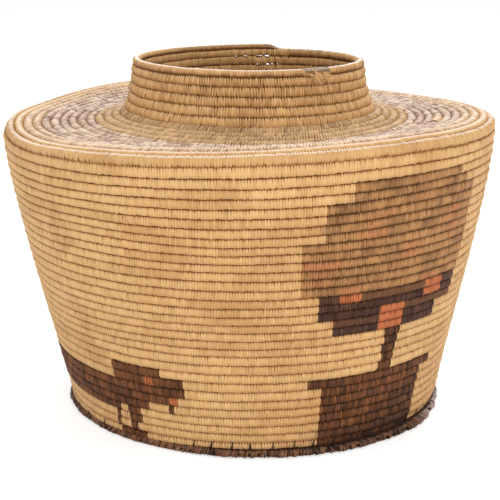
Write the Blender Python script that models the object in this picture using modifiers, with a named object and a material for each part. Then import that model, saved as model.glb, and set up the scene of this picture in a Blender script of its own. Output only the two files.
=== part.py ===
"""A coiled basket: flat base, flaring wall, wide shoulder, short neck.

One coil runs from the middle of the base to the rim. Seen from above it climbs clockwise.
A place on the coil is given in turns, counted from the start knot, with every whole turn at
the front (the -Y side). Turn n lies on top of turn n - 1, and course 1 is the top course of
the wall. Dyed figures are worked into the wall as runs of coil of another colour.
"""
import math
from bisect import bisect_left, bisect_right

import bmesh
import bpy
from mathutils import Vector

# The whole basket, metres
SHOULDER_RADIUS = 0.2000
SHOULDER_HEIGHT = 0.2390
FOOT_RADIUS = 0.1555
SHOULDER_RISE = 0.0065
NECK_FOOT_RADIUS = 0.1035
NECK_HEIGHT = 0.0395
MOUTH_RADIUS = 0.0937

# The coil's section
COIL_OUTSIDE = 0.0037
COIL_INSIDE = 0.0033
GROOVE_DEPTH = 0.0011

# How often the coil goes round
BASE_COURSES = 20
WALL_COURSES = 33
SHOULDER_COURSES = 13
NECK_COURSES = 6
COIL_END_DEGREES = 168.0

# How far the grooves lie off an even spacing, at so many turns: the courses vary in width
COURSE_DRIFT = [
    (20, -0.0032),
    (25, -0.0022),
    (31, 0.0012),
    (37, -0.0013),
    (41, 0.0001),
    (46, -0.0018),
    (52, 0.0012),
    (53, 0.0),
    (66, 0.0),
    (70, 0.0016),
    (72, 0.0),
]

# Bends and hollows of the wall
START_KNOT_RADIUS = 0.0105
BASE_CLEARANCE = 0.0033
HEEL_BEND = 0.0050
EDGE_BEND = 0.0040
WALL_BELLY = 0.0080
SHOULDER_HOLLOW = 0.0130
NECK_STRAIGHT_HEIGHT = 0.0155
NECK_TAPER = 0.0018

# How long each curve holds the direction of its ends, as a share of its run
FLARE_HOLD = 0.30
BELLY_HOLD = 0.28
SHOULDER_OUTER_HOLD = 0.30
SHOULDER_INNER_HOLD = 0.24
NECK_INWARD_HOLD = 0.30
NECK_UPWARD_HOLD = 0.15
NECK_TOP_HOLD = 0.45

# The foot ring under the heel
FOOT_COIL_RADIUS = 0.0028
FOOT_FLAT = 0.0005

# Leaning, tilt and warp from working by hand, which the foot has none of
LEAN = 0.0040
WALL_TILT_DEGREES = 0.70
NECK_TILT_DEGREES = 0.25
SADDLE_WARP = 0.0036
TILT_COURSES = 6
WARP_COURSES = 9
LEVEL_COURSES = 10

# The worn place on the rim, degrees to the right of the front
BARE_CORE_FROM = 34.0
BARE_CORE_TO = 45.0
BARE_CORE_RADIUS = 0.0031

# Loose strands
STRAND_THICKNESS = 0.0008
STRAND_WIDTH = 0.0020
STRAND_LENGTH = 0.0060
TUFT_WIDTH = 0.0120
TUFT_LENGTH = 0.0120
TUFT_TEETH = 5
TUFT_TOP = 0.55
TOOTH_DEPTH = 0.75
TOOTH_VARIATION = 0.25
TOOTH_ROOT = 0.45
TUFT_DEGREES = 39.0
LOWER_STRAND_DEGREES = -39.0
UPPER_STRAND_DEGREES = -56.0

# Clearance between neighbours, and the fineness of the facets
GAP = 0.0003
COLUMNS = 28
START_COLUMNS = 14
COARSE_COURSES = 9
RING_COLUMNS = 56
SECTION_POINTS = 10
PATH_STEPS = 60

TICKS = 360000
TICKS_PER_DEGREE = 1000
MIN_CELL_TICKS = 3500

NATURAL = ("natural_strand", (0.730, 0.445, 0.190), 0.55)
MOTTLED = ("mottled_strand", (0.440, 0.300, 0.190), 0.55)
BROWN = ("brown_strand", (0.370, 0.180, 0.068), 0.58)
DARK = ("dark_strand", (0.062, 0.031, 0.022), 0.60)
ORANGE = ("orange_strand", (0.650, 0.165, 0.048), 0.58)
BARE = ("bare_core", (0.270, 0.235, 0.190), 0.75)

# Dyed runs: name, first and last course, degrees from the front (right is positive)
FIGURES = [
    ("tree_canopy", 4, 4, 22, 53),
    ("tree_canopy", 5, 5, 22, 56),
    ("tree_canopy", 6, 9, 16, 60),
    ("tree_canopy", 10, 15, 11, 60),
    ("tree_branches", 16, 18, 15.5, 59),
    ("tree_branches", 19, 20, 19.5, 52),
    ("tree_fruit_left", 16, 16, 20.5, 26),
    ("tree_fruit_middle", 18, 20, 32, 39.5),
    ("tree_fruit_right", 16, 17, 46, 53),
    ("tree_trunk", 21, 25, 35, 39),
    ("tree_pot", 26, 26, 14.5, 57),
    ("tree_pot", 27, 33, 18.3, 52.5),
    ("animal_body", 25, 25, -39.4, -23.8),
    ("animal_body", 26, 26, -39.4, -17.8),
    ("animal_body", 27, 27, -99, -17.8),
    ("animal_body", 28, 28, -99, -22.4),
    ("animal_body", 29, 29, -99, -28.8),
    ("animal_body", 30, 30, -96, -40),
    ("animal_body", 30, 31, -37.2, -32.2),
    ("animal_body", 32, 32, -37.4, -34.8),
    ("animal_body", 31, 32, -93, -88),
    ("animal_body", 33, 33, -41.7, -32.1),
    ("animal_body", 33, 33, -97, -88),
    ("animal_eye", 26, 26, -29.2, -26.2),
    ("animal_tongue", 28, 28, -22.4, -19.8),
]

FIGURE_STRANDS = {
    "tree_canopy": BROWN,
    "tree_branches": DARK,
    "tree_fruit_left": ORANGE,
    "tree_fruit_middle": ORANGE,
    "tree_fruit_right": ORANGE,
    "tree_trunk": DARK,
    "tree_pot": DARK,
    "animal_body": DARK,
    "animal_eye": ORANGE,
    "animal_tongue": ORANGE,
}

WALL_TOP = BASE_COURSES + WALL_COURSES
SHOULDER_TOP = WALL_TOP + SHOULDER_COURSES
COIL_END = SHOULDER_TOP + NECK_COURSES - 1 + (360.0 - COIL_END_DEGREES) / 360.0


def clear_scene():
    """Remove whatever the scene holds."""
    for item in list(bpy.data.objects):
        bpy.data.objects.remove(item, do_unlink=True)


def cubic(start, leave, arrive, end):
    """Points of a cubic Bezier curve through start and end."""
    points = []
    for step in range(PATH_STEPS + 1):
        t = step / PATH_STEPS
        u = 1.0 - t
        points.append(
            start * u**3 + leave * (3 * t * u * u) + arrive * (3 * t * t * u) + end * t**3
        )
    return points


def arc(centre, radius, first, last):
    """Points of an arc, angles in degrees from the outward direction."""
    points = []
    for step in range(PATH_STEPS + 1):
        angle = math.radians(first + (last - first) * step / PATH_STEPS)
        points.append(centre + Vector((math.cos(angle), math.sin(angle))) * radius)
    return points


class CoilPath:
    """The middle of the wall as (radius, height), measured off in courses."""

    def __init__(self):
        self.base_height = BASE_CLEARANCE + COIL_OUTSIDE
        self.heel = Vector((
            FOOT_RADIUS - COIL_OUTSIDE - HEEL_BEND,
            self.base_height + HEEL_BEND,
        ))
        self.edge = Vector((
            SHOULDER_RADIUS - COIL_OUTSIDE - EDGE_BEND,
            SHOULDER_HEIGHT - COIL_OUTSIDE - EDGE_BEND,
        ))
        self.neck_foot = Vector((
            NECK_FOOT_RADIUS - COIL_OUTSIDE,
            SHOULDER_HEIGHT + SHOULDER_RISE - COIL_OUTSIDE,
        ))
        self.rim = Vector((
            MOUTH_RADIUS - COIL_OUTSIDE,
            SHOULDER_HEIGHT + SHOULDER_RISE + NECK_HEIGHT,
        ))
        self.points = []
        self.lengths = []
        self.marks = [(0, 0.0)]
        for turns, points in (
            (BASE_COURSES, self.base()),
            (WALL_TOP, self.wall()),
            (SHOULDER_TOP, self.shoulder()),
            (SHOULDER_TOP + NECK_COURSES, self.neck()),
        ):
            self.extend(points)
            self.marks.append((turns, self.lengths[-1]))
        last_pitch = self.pitch(SHOULDER_TOP + NECK_COURSES)
        upward = (self.points[-1] - self.points[-2]).normalized()
        self.extend([self.rim + upward * 2.0 * last_pitch])
        even = {turns: self.distance(turns) + drift for turns, drift in COURSE_DRIFT}
        self.marks = sorted({**dict(self.marks), **even}.items())

    def base(self):
        """Flat from the start knot to the heel, and half of the heel's bend."""
        knot = Vector((START_KNOT_RADIUS, self.base_height))
        rim = Vector((self.heel.x, self.base_height))
        return [knot, rim] + arc(self.heel, HEEL_BEND, -90.0, -45.0)

    def wall(self):
        """The rest of the heel, the flaring wall and the bend into the shoulder."""
        low = self.heel + Vector((HEEL_BEND, 0.0))
        high = self.edge + Vector((EDGE_BEND, 0.0))
        rise = high - low
        belly = Vector((WALL_BELLY, 0.0))
        flare = cubic(low, low + rise * FLARE_HOLD, high - rise * BELLY_HOLD + belly, high)
        return arc(self.heel, HEEL_BEND, -45.0, 0.0) + flare + arc(self.edge, EDGE_BEND, 0.0, 90.0)

    def shoulder(self):
        """Level at the edge, hollow half way in, rising to the foot of the neck."""
        outer = self.edge + Vector((0.0, EDGE_BEND))
        span = outer.x - self.neck_foot.x
        leave = outer - Vector((span * SHOULDER_OUTER_HOLD, 0.0))
        arrive = self.neck_foot + Vector((span * SHOULDER_INNER_HOLD, -SHOULDER_HOLLOW))
        return cubic(outer, leave, arrive, self.neck_foot)

    def neck(self):
        """A curve up from the shoulder, then nearly straight to the rim."""
        bend = self.rim + Vector((NECK_TAPER, -NECK_STRAIGHT_HEIGHT))
        run = bend - self.neck_foot
        leave = self.neck_foot + Vector((run.x * NECK_INWARD_HOLD, run.y * NECK_UPWARD_HOLD))
        arrive = bend - Vector((run.x * NECK_UPWARD_HOLD, run.y * NECK_TOP_HOLD))
        return cubic(self.neck_foot, leave, arrive, bend) + [self.rim]

    def extend(self, points):
        """Add points, with the distance walked so far."""
        for point in points:
            step = (point - self.points[-1]).length if self.points else 0.0
            if not self.points or step > 1e-6:
                self.lengths.append(self.lengths[-1] + step if self.points else 0.0)
                self.points.append(point)

    def distance(self, turns):
        """The distance along the wall's middle at so many turns."""
        index = bisect_left([mark[0] for mark in self.marks], turns)
        index = min(max(index, 1), len(self.marks) - 1)
        first, start = self.marks[index - 1]
        last, end = self.marks[index]
        return start + (turns - first) * (end - start) / (last - first)

    def pitch(self, turns):
        """The width of one course there."""
        return self.distance(turns + 0.5) - self.distance(turns - 0.5)

    def middle(self, walked):
        """The (radius, height) after walking so far."""
        walked = min(max(walked, 0.0), self.lengths[-1])
        index = min(bisect_right(self.lengths, walked), len(self.points) - 1)
        start, end = self.lengths[index - 1], self.lengths[index]
        return self.points[index - 1].lerp(self.points[index], (walked - start) / (end - start))

    def at(self, turns):
        """The (radius, height) there, and the direction that points out of the basket."""
        walked = self.distance(turns)
        reach = COIL_INSIDE * 0.5
        along = (self.middle(walked + reach) - self.middle(walked - reach)).normalized()
        return self.middle(walked), Vector((along.y, -along.x))


PATH = CoilPath()


def ramp(value, first, last):
    """0 before first, 1 after last and a smooth rise between them."""
    share = min(max((value - first) / (last - first), 0.0), 1.0)
    return share * share * (3.0 - 2.0 * share)


def settle(point, turns):
    """Lean, tilt and a saddle's warp: the foot stays flat and the shoulder's edge has most."""
    rise = max(0.0, point.z - PATH.heel.y) / (SHOULDER_HEIGHT - PATH.heel.y)
    inward = ramp(turns, WALL_TOP, WALL_TOP + LEVEL_COURSES)
    wall_tilt = math.tan(math.radians(WALL_TILT_DEGREES)) * (1.0 - inward)
    neck_tilt = math.tan(math.radians(NECK_TILT_DEGREES)) * inward
    tilt = (wall_tilt + neck_tilt) * ramp(turns, BASE_COURSES, BASE_COURSES + TILT_COURSES)
    warp = SADDLE_WARP * ramp(turns, WALL_TOP - WARP_COURSES, WALL_TOP) * (1.0 - inward)
    corner = -2.0 * point.x * point.y / (point.x**2 + point.y**2)
    return Vector((
        point.x + LEAN * (1.0 - rise),
        point.y,
        point.z + tilt * point.x + warp * corner,
    ))


def place(turns, across=0.0, outward=0.0):
    """A point of the coil: turns give its side, across moves it up by that many courses."""
    middle, outside = PATH.at(turns + across)
    radius, height = middle + outside * outward
    angle = -0.5 * math.pi - 2.0 * math.pi * turns
    point = Vector((radius * math.cos(angle), radius * math.sin(angle), height))
    return settle(point, turns + across)


def figure_runs():
    """Each dyed run as (name, first tick, last tick) along the coil."""
    runs = []
    for name, top, bottom, left, right in FIGURES:
        for course in range(top, bottom + 1):
            front = (WALL_TOP - course) * TICKS
            first = front - round(right * TICKS_PER_DEGREE)
            last = front - round(left * TICKS_PER_DEGREE)
            runs.append((name, first, last))
    return runs


def band_limits():
    """Where plain nodes begin and end, as (name, strand, first turn, last turn)."""
    third = WALL_COURSES / 3.0
    start = BASE_COURSES - 0.5
    heel = start - 1.0
    front_of_rim = SHOULDER_TOP + NECK_COURSES - 1
    return [
        ("base_coil", NATURAL, 0.0, heel),
        ("wall_lower_coil", NATURAL, heel, start + third),
        ("wall_middle_coil", NATURAL, start + third, start + 2 * third),
        ("wall_upper_coil", NATURAL, start + 2 * third, WALL_TOP - 0.5),
        ("shoulder_outer_coil", NATURAL, WALL_TOP - 0.5, WALL_TOP + 3.5),
        ("shoulder_mottled_coil", MOTTLED, WALL_TOP + 3.5, SHOULDER_TOP - 3.5),
        ("shoulder_inner_coil", NATURAL, SHOULDER_TOP - 3.5, SHOULDER_TOP - 0.5),
        ("neck_coil", NATURAL, SHOULDER_TOP - 0.5, front_of_rim - BARE_CORE_TO / 360.0),
        ("rim_coil", NATURAL, front_of_rim - BARE_CORE_FROM / 360.0, COIL_END),
    ]


class CoilChart:
    """The coil cut into cells along its run, each cell owned by one node."""

    def __init__(self):
        self.bands = [
            (name, round(first * TICKS), round(last * TICKS))
            for name, _, first, last in band_limits()
        ]
        self.runs = figure_runs()
        self.ends = self.cell_ends()
        self.owners = [
            self.owner((first + last) // 2) for first, last in zip(self.ends, self.ends[1:])
        ]
        self.grooves = sorted(set(self.ends) | {end + TICKS for end in self.ends})

    def cell_ends(self):
        """Every tick where a cell ends: node limits, and even columns between them."""
        fixed = {tick for _, first, last in self.bands + self.runs for tick in (first, last)}
        fixed = sorted(fixed)
        ends = set(fixed)
        for turn in range(math.ceil(COIL_END)):
            columns = START_COLUMNS if turn < COARSE_COURSES else COLUMNS
            for column in range(columns):
                tick = turn * TICKS + round(column * TICKS / columns)
                spot = bisect_left(fixed, tick)
                near = [abs(tick - other) for other in fixed[max(spot - 1, 0):spot + 1]]
                if fixed[0] < tick < fixed[-1] and min(near) > MIN_CELL_TICKS:
                    ends.add(tick)
        return sorted(ends)

    def owner(self, tick):
        """The node that a tick belongs to: the last figure drawn there, or else the band."""
        for name, first, last in reversed(self.runs):
            if first <= tick < last:
                return name
        for name, first, last in self.bands:
            if first <= tick < last:
                return name
        return None

    def owner_beside(self, tick, side):
        """The owner of the cell just before (side -1) or after (side 1) a tick."""
        index = bisect_right(self.ends, tick + side) - 1
        if 0 <= index < len(self.owners):
            return self.owners[index]
        return None

    def grooves_between(self, first, last):
        """Ticks of the groove vertices from first to last, both included."""
        return self.grooves[bisect_left(self.grooves, first):bisect_right(self.grooves, last)]

    def cells(self, name):
        """First and last tick of each cell of a node."""
        return [
            (first, last)
            for first, last, owner in zip(self.ends, self.ends[1:], self.owners)
            if owner == name
        ]


class CoilShell:
    """One node of the coil as a closed shell, drawn in by half a gap where it meets others."""

    def __init__(self, chart, name):
        self.chart = chart
        self.name = name
        self.mesh = bmesh.new()
        self.vertices = {}

    def sign(self, value):
        """1, 0 or -1."""
        return (value > 0) - (value < 0)

    def half_gap(self, turns):
        """Half the gap to a neighbour, in turns along the coil and in courses across it."""
        radius = max(PATH.at(turns)[0].x, START_KNOT_RADIUS)
        return 0.5 * GAP / (2.0 * math.pi * radius), 0.5 * GAP / PATH.pitch(turns)

    def groove(self, tick, outward):
        """A vertex in the groove under the turn that passes a tick."""
        key = ("groove", tick, outward)
        if key not in self.vertices:
            mine = [
                self.chart.owner_beside(tick - turn * TICKS, side) == self.name
                for turn in (0, 1)
                for side in (-1, 1)
            ]
            above_back, above_on, below_back, below_on = mine
            on = self.sign(above_on + below_on - above_back - below_back)
            up = self.sign(above_back + above_on - below_back - below_on)
            turns = tick / TICKS
            along, across = self.half_gap(turns)
            point = place(turns + on * along, up * across, outward)
            self.vertices[key] = self.mesh.verts.new(point)
        return self.vertices[key]

    def crest(self, tick):
        """A vertex on the round back of the turn that passes a tick."""
        key = ("crest", tick)
        if key not in self.vertices:
            before = self.chart.owner_beside(tick, -1) == self.name
            after = self.chart.owner_beside(tick, 1) == self.name
            turns = tick / TICKS
            along, _ = self.half_gap(turns)
            point = place(turns + (after - before) * along, 0.5, COIL_OUTSIDE)
            self.vertices[key] = self.mesh.verts.new(point)
        return self.vertices[key]

    def outer(self, tick):
        """The outer vertex of a groove."""
        return self.groove(tick, COIL_OUTSIDE - GROOVE_DEPTH)

    def inner(self, tick):
        """The inner vertex of a groove."""
        return self.groove(tick, -COIL_INSIDE)

    def end_face(self, tick):
        """The section of the coil where a run ends."""
        self.mesh.faces.new([
            self.outer(tick),
            self.crest(tick),
            self.outer(tick + TICKS),
            self.inner(tick + TICKS),
            self.inner(tick),
        ])

    def seam_faces(self, ticks, below):
        """The faces along a groove where the neighbouring turn is another node."""
        for first, last in zip(ticks, ticks[1:]):
            neighbour = self.chart.owner_beside(first - below * TICKS, 1)
            if neighbour != self.name:
                self.mesh.faces.new([
                    self.outer(first),
                    self.outer(last),
                    self.inner(last),
                    self.inner(first),
                ])

    def cell_faces(self, first, last):
        """The faces of one cell, from groove over the crest to groove, and inside."""
        low = self.chart.grooves_between(first, last)
        high = self.chart.grooves_between(first + TICKS, last + TICKS)
        crest = [self.crest(first), self.crest(last)]
        self.mesh.faces.new(crest + [self.outer(tick) for tick in reversed(low)])
        self.mesh.faces.new(crest[::-1] + [self.outer(tick) for tick in high])
        self.mesh.faces.new(
            [self.inner(tick) for tick in low] + [self.inner(tick) for tick in reversed(high)]
        )
        self.seam_faces(low, 1)
        self.seam_faces(high, 0)
        if self.chart.owner_beside(first, -1) != self.name:
            self.end_face(first)
        if self.chart.owner_beside(last, 1) != self.name:
            self.end_face(last)

    def build(self):
        """The finished mesh."""
        for first, last in self.chart.cells(self.name):
            self.cell_faces(first, last)
        return self.mesh


def material_for(strand):
    """One shared material for each kind of strand."""
    name, colour, roughness = strand
    material = bpy.data.materials.get(name)
    if material is None:
        material = bpy.data.materials.new(name)
        material.use_nodes = True
        shader = material.node_tree.nodes["Principled BSDF"]
        shader.inputs["Base Color"].default_value = (*colour, 1.0)
        shader.inputs["Roughness"].default_value = roughness
        shader.inputs["Metallic"].default_value = 0.0
    return material


def add_piece(name, shape, strand, collection):
    """Turn a bmesh into a named object with outward faces."""
    bmesh.ops.recalc_face_normals(shape, faces=shape.faces)
    mesh = bpy.data.meshes.new(name)
    shape.to_mesh(mesh)
    shape.free()
    mesh.shade_smooth()
    mesh.set_sharp_from_angle(angle=math.radians(40.0))
    piece = bpy.data.objects.new(name, mesh)
    piece.data.materials.append(material_for(strand))
    collection.objects.link(piece)
    return piece


def prism(bottom, top):
    """A closed solid between two outlines with as many points."""
    shape = bmesh.new()
    low = [shape.verts.new(point) for point in bottom]
    high = [shape.verts.new(point) for point in top]
    shape.faces.new(low[::-1])
    shape.faces.new(high)
    for index in range(len(low)):
        after = (index + 1) % len(low)
        shape.faces.new([low[index], low[after], high[after], high[index]])
    return shape


def start_knot():
    """The tight first winding, a snail that the first turn leaves from."""
    low, high = [], []
    backlash = GAP / (2.0 * math.pi * START_KNOT_RADIUS)
    for column in range(START_COLUMNS + 1):
        turns = column / START_COLUMNS
        shown = min(turns, 1.0 - backlash)
        inset = -GAP / PATH.pitch(1.0)
        low.append(place(shown, inset, COIL_OUTSIDE - GROOVE_DEPTH))
        high.append(place(shown, inset, -COIL_INSIDE))
    return prism(low, high)


def foot_ring(collection):
    """A separate wrapped coil that the heel stands on, flat where it rests."""
    height = FOOT_COIL_RADIUS - FOOT_FLAT
    reach = HEEL_BEND + COIL_OUTSIDE + GAP + FOOT_COIL_RADIUS
    radius = PATH.heel.x + math.sqrt(reach**2 - (PATH.heel.y - height) ** 2)
    flat = math.degrees(math.acos(height / FOOT_COIL_RADIUS))
    mesh = bpy.data.meshes.new("foot_ring")
    shape = bmesh.new()
    ring = []
    for step in range(SECTION_POINTS):
        turn = 360.0 - 2.0 * flat
        angle = math.radians(-90.0 - flat - turn * step / (SECTION_POINTS - 1))
        ring.append(shape.verts.new((
            radius + FOOT_COIL_RADIUS * math.cos(angle),
            0.0,
            max(0.0, height + FOOT_COIL_RADIUS * math.sin(angle)),
        )))
    for first, second in zip(ring, ring[1:] + ring[:1]):
        shape.edges.new((first, second))
    shape.to_mesh(mesh)
    shape.free()
    piece = bpy.data.objects.new("foot_ring", mesh)
    piece.location.x = LEAN
    piece.data.materials.append(material_for(DARK))
    collection.objects.link(piece)
    screw = piece.modifiers.new("round_the_heel", "SCREW")
    screw.steps = RING_COLUMNS
    screw.render_steps = RING_COLUMNS
    screw.use_merge_vertices = True
    screw.merge_threshold = 0.0001
    screw.use_normal_flip = False
    return piece


def bare_core(collection):
    """The foundation bundle where the rim's stitches are worn away."""
    front = SHOULDER_TOP + NECK_COURSES - 1
    first = front - BARE_CORE_TO / 360.0
    last = front - BARE_CORE_FROM / 360.0
    margin = GAP / (2.0 * math.pi * (MOUTH_RADIUS - COIL_OUTSIDE))
    curve = bpy.data.curves.new("bare_core", "CURVE")
    curve.dimensions = "3D"
    curve.bevel_depth = BARE_CORE_RADIUS
    curve.bevel_resolution = 3
    curve.use_fill_caps = True
    spline = curve.splines.new("POLY")
    steps = 4
    spline.points.add(steps)
    for step in range(steps + 1):
        turns = first + margin + (last - first - 2.0 * margin) * step / steps
        spline.points[step].co = (*place(turns, 0.5, 0.0), 1.0)
    piece = bpy.data.objects.new("bare_core", curve)
    curve.materials.append(material_for(BARE))
    collection.objects.link(piece)
    return piece


def strand_fan(turns, top, width, length, teeth):
    """A thin fan of loose strands that lies on the outside of the coil, points down."""
    radius = PATH.at(turns)[0].x
    half = 0.5 * width / (2.0 * math.pi * radius)
    drop = length / PATH.pitch(turns)
    outline = [(-half, 0.0), (half, 0.0)]
    for tooth in range(teeth):
        right = half - 2.0 * half * tooth / teeth
        middle = half - 2.0 * half * (tooth + 0.5) / teeth
        depth = drop * (TOOTH_DEPTH + TOOTH_VARIATION * math.cos(3.0 * tooth))
        if tooth:
            outline.append((right, -TOOTH_ROOT * drop))
        outline.append((middle, -depth))
    near = COIL_OUTSIDE + GAP
    far = near + STRAND_THICKNESS
    inside = [place(turns + aside, top + up, near) for aside, up in outline]
    outside = [place(turns + aside, top + up, far) for aside, up in outline]
    return prism(inside, outside)


def loose_strands():
    """Name, place and size of each loose strand: turns, courses up, width, length, teeth."""
    tuft = SHOULDER_TOP + NECK_COURSES - 1 - TUFT_DEGREES / 360.0
    lower = SHOULDER_TOP - LOWER_STRAND_DEGREES / 360.0
    upper = SHOULDER_TOP + 2 - UPPER_STRAND_DEGREES / 360.0
    return [
        ("frayed_tuft", tuft, TUFT_TOP, TUFT_WIDTH, TUFT_LENGTH, TUFT_TEETH),
        ("loose_strand_lower", lower, 1.0, STRAND_WIDTH, STRAND_LENGTH, 1),
        ("loose_strand_upper", upper, 1.0, STRAND_WIDTH, STRAND_LENGTH, 1),
    ]


def build():
    """Model the basket in a collection of its own."""
    clear_scene()
    collection = bpy.data.collections.new("coiled_basket")
    bpy.context.scene.collection.children.link(collection)
    chart = CoilChart()
    strands = {name: strand for name, strand, _, _ in band_limits()}
    strands.update(FIGURE_STRANDS)
    for name, strand in strands.items():
        add_piece(name, CoilShell(chart, name).build(), strand, collection)
    add_piece("start_knot", start_knot(), NATURAL, collection)
    foot_ring(collection)
    bare_core(collection)
    for name, turns, top, width, length, teeth in loose_strands():
        fan = strand_fan(turns, top, width, length, teeth)
        add_piece(name, fan, NATURAL, collection)


build()
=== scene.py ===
"""The looks of a coiled basket: every stitch, the bundle under them, the foot ring, the light.

The basket is one coil, sewn turn on turn. A place on it is given in turns from the start knot,
with every whole turn at the front (the -Y side), and it climbs clockwise seen from above.
Strands of the sewing lie across the coil, so each stitch is a small closed strand that spans
from one groove to the next. Lengths are in metres.
"""
import logging
import math
import random
import sys
from bisect import bisect_left, bisect_right
from dataclasses import dataclass, field, replace
from enum import Enum
from typing import Any, Callable, Iterable, Iterator, NamedTuple, Sequence

import bmesh
import bpy
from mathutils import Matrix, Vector

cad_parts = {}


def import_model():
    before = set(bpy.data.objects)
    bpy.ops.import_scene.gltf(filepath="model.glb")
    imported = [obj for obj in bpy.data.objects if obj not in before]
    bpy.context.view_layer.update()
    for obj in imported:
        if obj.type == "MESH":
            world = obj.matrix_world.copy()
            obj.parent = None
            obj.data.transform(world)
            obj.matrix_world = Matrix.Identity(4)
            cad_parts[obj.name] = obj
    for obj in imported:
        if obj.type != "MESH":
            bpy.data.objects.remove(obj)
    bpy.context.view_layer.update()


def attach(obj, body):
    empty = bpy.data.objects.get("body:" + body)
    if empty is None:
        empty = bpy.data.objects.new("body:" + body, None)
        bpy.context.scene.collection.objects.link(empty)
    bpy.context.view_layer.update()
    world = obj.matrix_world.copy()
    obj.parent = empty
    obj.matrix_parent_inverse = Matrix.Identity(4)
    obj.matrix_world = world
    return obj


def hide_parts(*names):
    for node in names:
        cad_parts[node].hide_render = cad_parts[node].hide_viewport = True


LOG = logging.getLogger("basket")

Colour = tuple[float, float, float]
Span = tuple[float, float]

BODY = "root"
BAKE_MAP = "OFBake"

# The coil, as in the CAD source
SHOULDER_RADIUS = 0.2000
SHOULDER_HEIGHT = 0.2390
FOOT_RADIUS = 0.1555
SHOULDER_RISE = 0.0065
NECK_FOOT_RADIUS = 0.1035
NECK_HEIGHT = 0.0395
MOUTH_RADIUS = 0.0937
COIL_OUTSIDE = 0.0037
COIL_INSIDE = 0.0033
BASE_COURSES = 20
WALL_COURSES = 33
SHOULDER_COURSES = 13
NECK_COURSES = 6
COURSE_DRIFT = (
    (20, -0.0032),
    (25, -0.0022),
    (31, 0.0012),
    (37, -0.0013),
    (41, 0.0001),
    (46, -0.0018),
    (52, 0.0012),
    (53, 0.0),
    (66, 0.0),
    (70, 0.0016),
    (72, 0.0),
)
START_KNOT_RADIUS = 0.0105
KNOT_TURNS = 1.3
BASE_CLEARANCE = 0.0033
HEEL_BEND = 0.0050
EDGE_BEND = 0.0040
WALL_BELLY = 0.0080
SHOULDER_HOLLOW = 0.0130
NECK_STRAIGHT_HEIGHT = 0.0155
NECK_TAPER = 0.0018
FLARE_HOLD = 0.30
BELLY_HOLD = 0.28
SHOULDER_OUTER_HOLD = 0.30
SHOULDER_INNER_HOLD = 0.24
NECK_INWARD_HOLD = 0.30
NECK_UPWARD_HOLD = 0.15
NECK_TOP_HOLD = 0.45
FOOT_COIL_RADIUS = 0.0028
FOOT_FLAT = 0.0005
LEAN = 0.0040
WALL_TILT_DEGREES = 0.70
NECK_TILT_DEGREES = 0.25
SADDLE_WARP = 0.0036
TILT_COURSES = 6
WARP_COURSES = 9
LEVEL_COURSES = 10
PATH_STEPS = 60

# Where the last turn ends and where its sewing is worn away, degrees to the right of the
# front: both differ a little from the CAD source
COIL_END_DEGREES = 163.0
WORN_FROM = 27.5
WORN_TO = 42.0

# Where the hand-made form stands higher or lower than an even one: degrees from the front,
# place on the coil in turns, reach in degrees, reach in turns, height
SWELLS = (
    (40.0, 46.0, 18.0, 2.5, 0.0025),
    (16.0, 50.0, 30.0, 2.5, -0.0012),
    (-24.0, 24.0, 30.0, 4.5, -0.0009),
    (64.0, 32.0, 10.0, 8.0, -0.0018),
    (-72.0, 50.0, 30.0, 2.5, -0.0015),
    (-40.0, 44.0, 10.0, 2.5, 0.0012),
    (-8.0, 44.0, 10.0, 2.5, -0.0009),
    (24.0, 36.0, 18.0, 2.5, 0.0008),
    (-48.0, 34.0, 18.0, 2.5, -0.0008),
    (32.0, 24.0, 10.0, 2.5, 0.0008),
    (-147.0, 53.5, 17.0, 4.5, 0.0036),
    (-110.0, 53.5, 14.0, 4.5, -0.0020),
    (0.0, 61.4, 60.0, 2.6, -0.0032),
    (0.0, 54.9, 60.0, 1.7, 0.0025),
    (-22.0, 54.4, 30.0, 1.8, 0.0014),
    (62.0, 53.0, 20.0, 2.0, -0.0014),
    (-62.0, 53.0, 15.0, 1.6, -0.0012),
    (0.0, 65.4, 60.0, 1.2, -0.0011),
    (60.0, 51.0, 34.0, 1.6, -0.0015),
    (60.0, 50.5, 20.0, 1.5, -0.0006),
    (-68.0, 20.4, 34.0, 1.6, -0.0019),
)

WALL_TOP = BASE_COURSES + WALL_COURSES
SHOULDER_TOP = WALL_TOP + SHOULDER_COURSES
RIM_FRONT = SHOULDER_TOP + NECK_COURSES - 1
COIL_END = RIM_FRONT + (360.0 - COIL_END_DEGREES) / 360.0
RIM_START = COIL_END - 1.0

# The sewing
WALL_GROOVE = 0.0019
TOP_GROOVE = 0.0024
NECK_FOOT_GROOVE = 0.0020
NECK_GROOVE = 0.0020
BACK_GROOVE = 0.0009
INNER_GROOVE = 0.0010
GROOVE_WANDER = 0.045
BUNDLE_SWELLING = 0.00012
BUNDLE_COVER = 0.00045
STATIONS_PER_TURN = 180
BAKE_ROW = 0.0085
OPEN_FINENESS = 25
END_TAPER = 0.016
RIM_DROP = 0.12
RIM_SINK = 0.06
RIM_THINNING = 0.42
RIM_TIP_HEIGHT = 0.06

# Behind, in the two grooves under the last turn, light comes through between some stitches:
# the course above the groove, and the first and last part of its turn
OPENINGS = (
    (69, 0.5130, 0.5150),
    (69, 0.5280, 0.5310),
    (69, 0.5353, 0.5373),
    (69, 0.5440, 0.5458),
    (70, 0.4795, 0.4815),
    (70, 0.4943, 0.4967),
    (70, 0.5125, 0.5210),
    (70, 0.5255, 0.5320),
    (70, 0.5500, 0.5520),
    (70, 0.5645, 0.5665),
)
OPEN_GAP = 0.125
OPEN_EDGE = 0.0006

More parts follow.
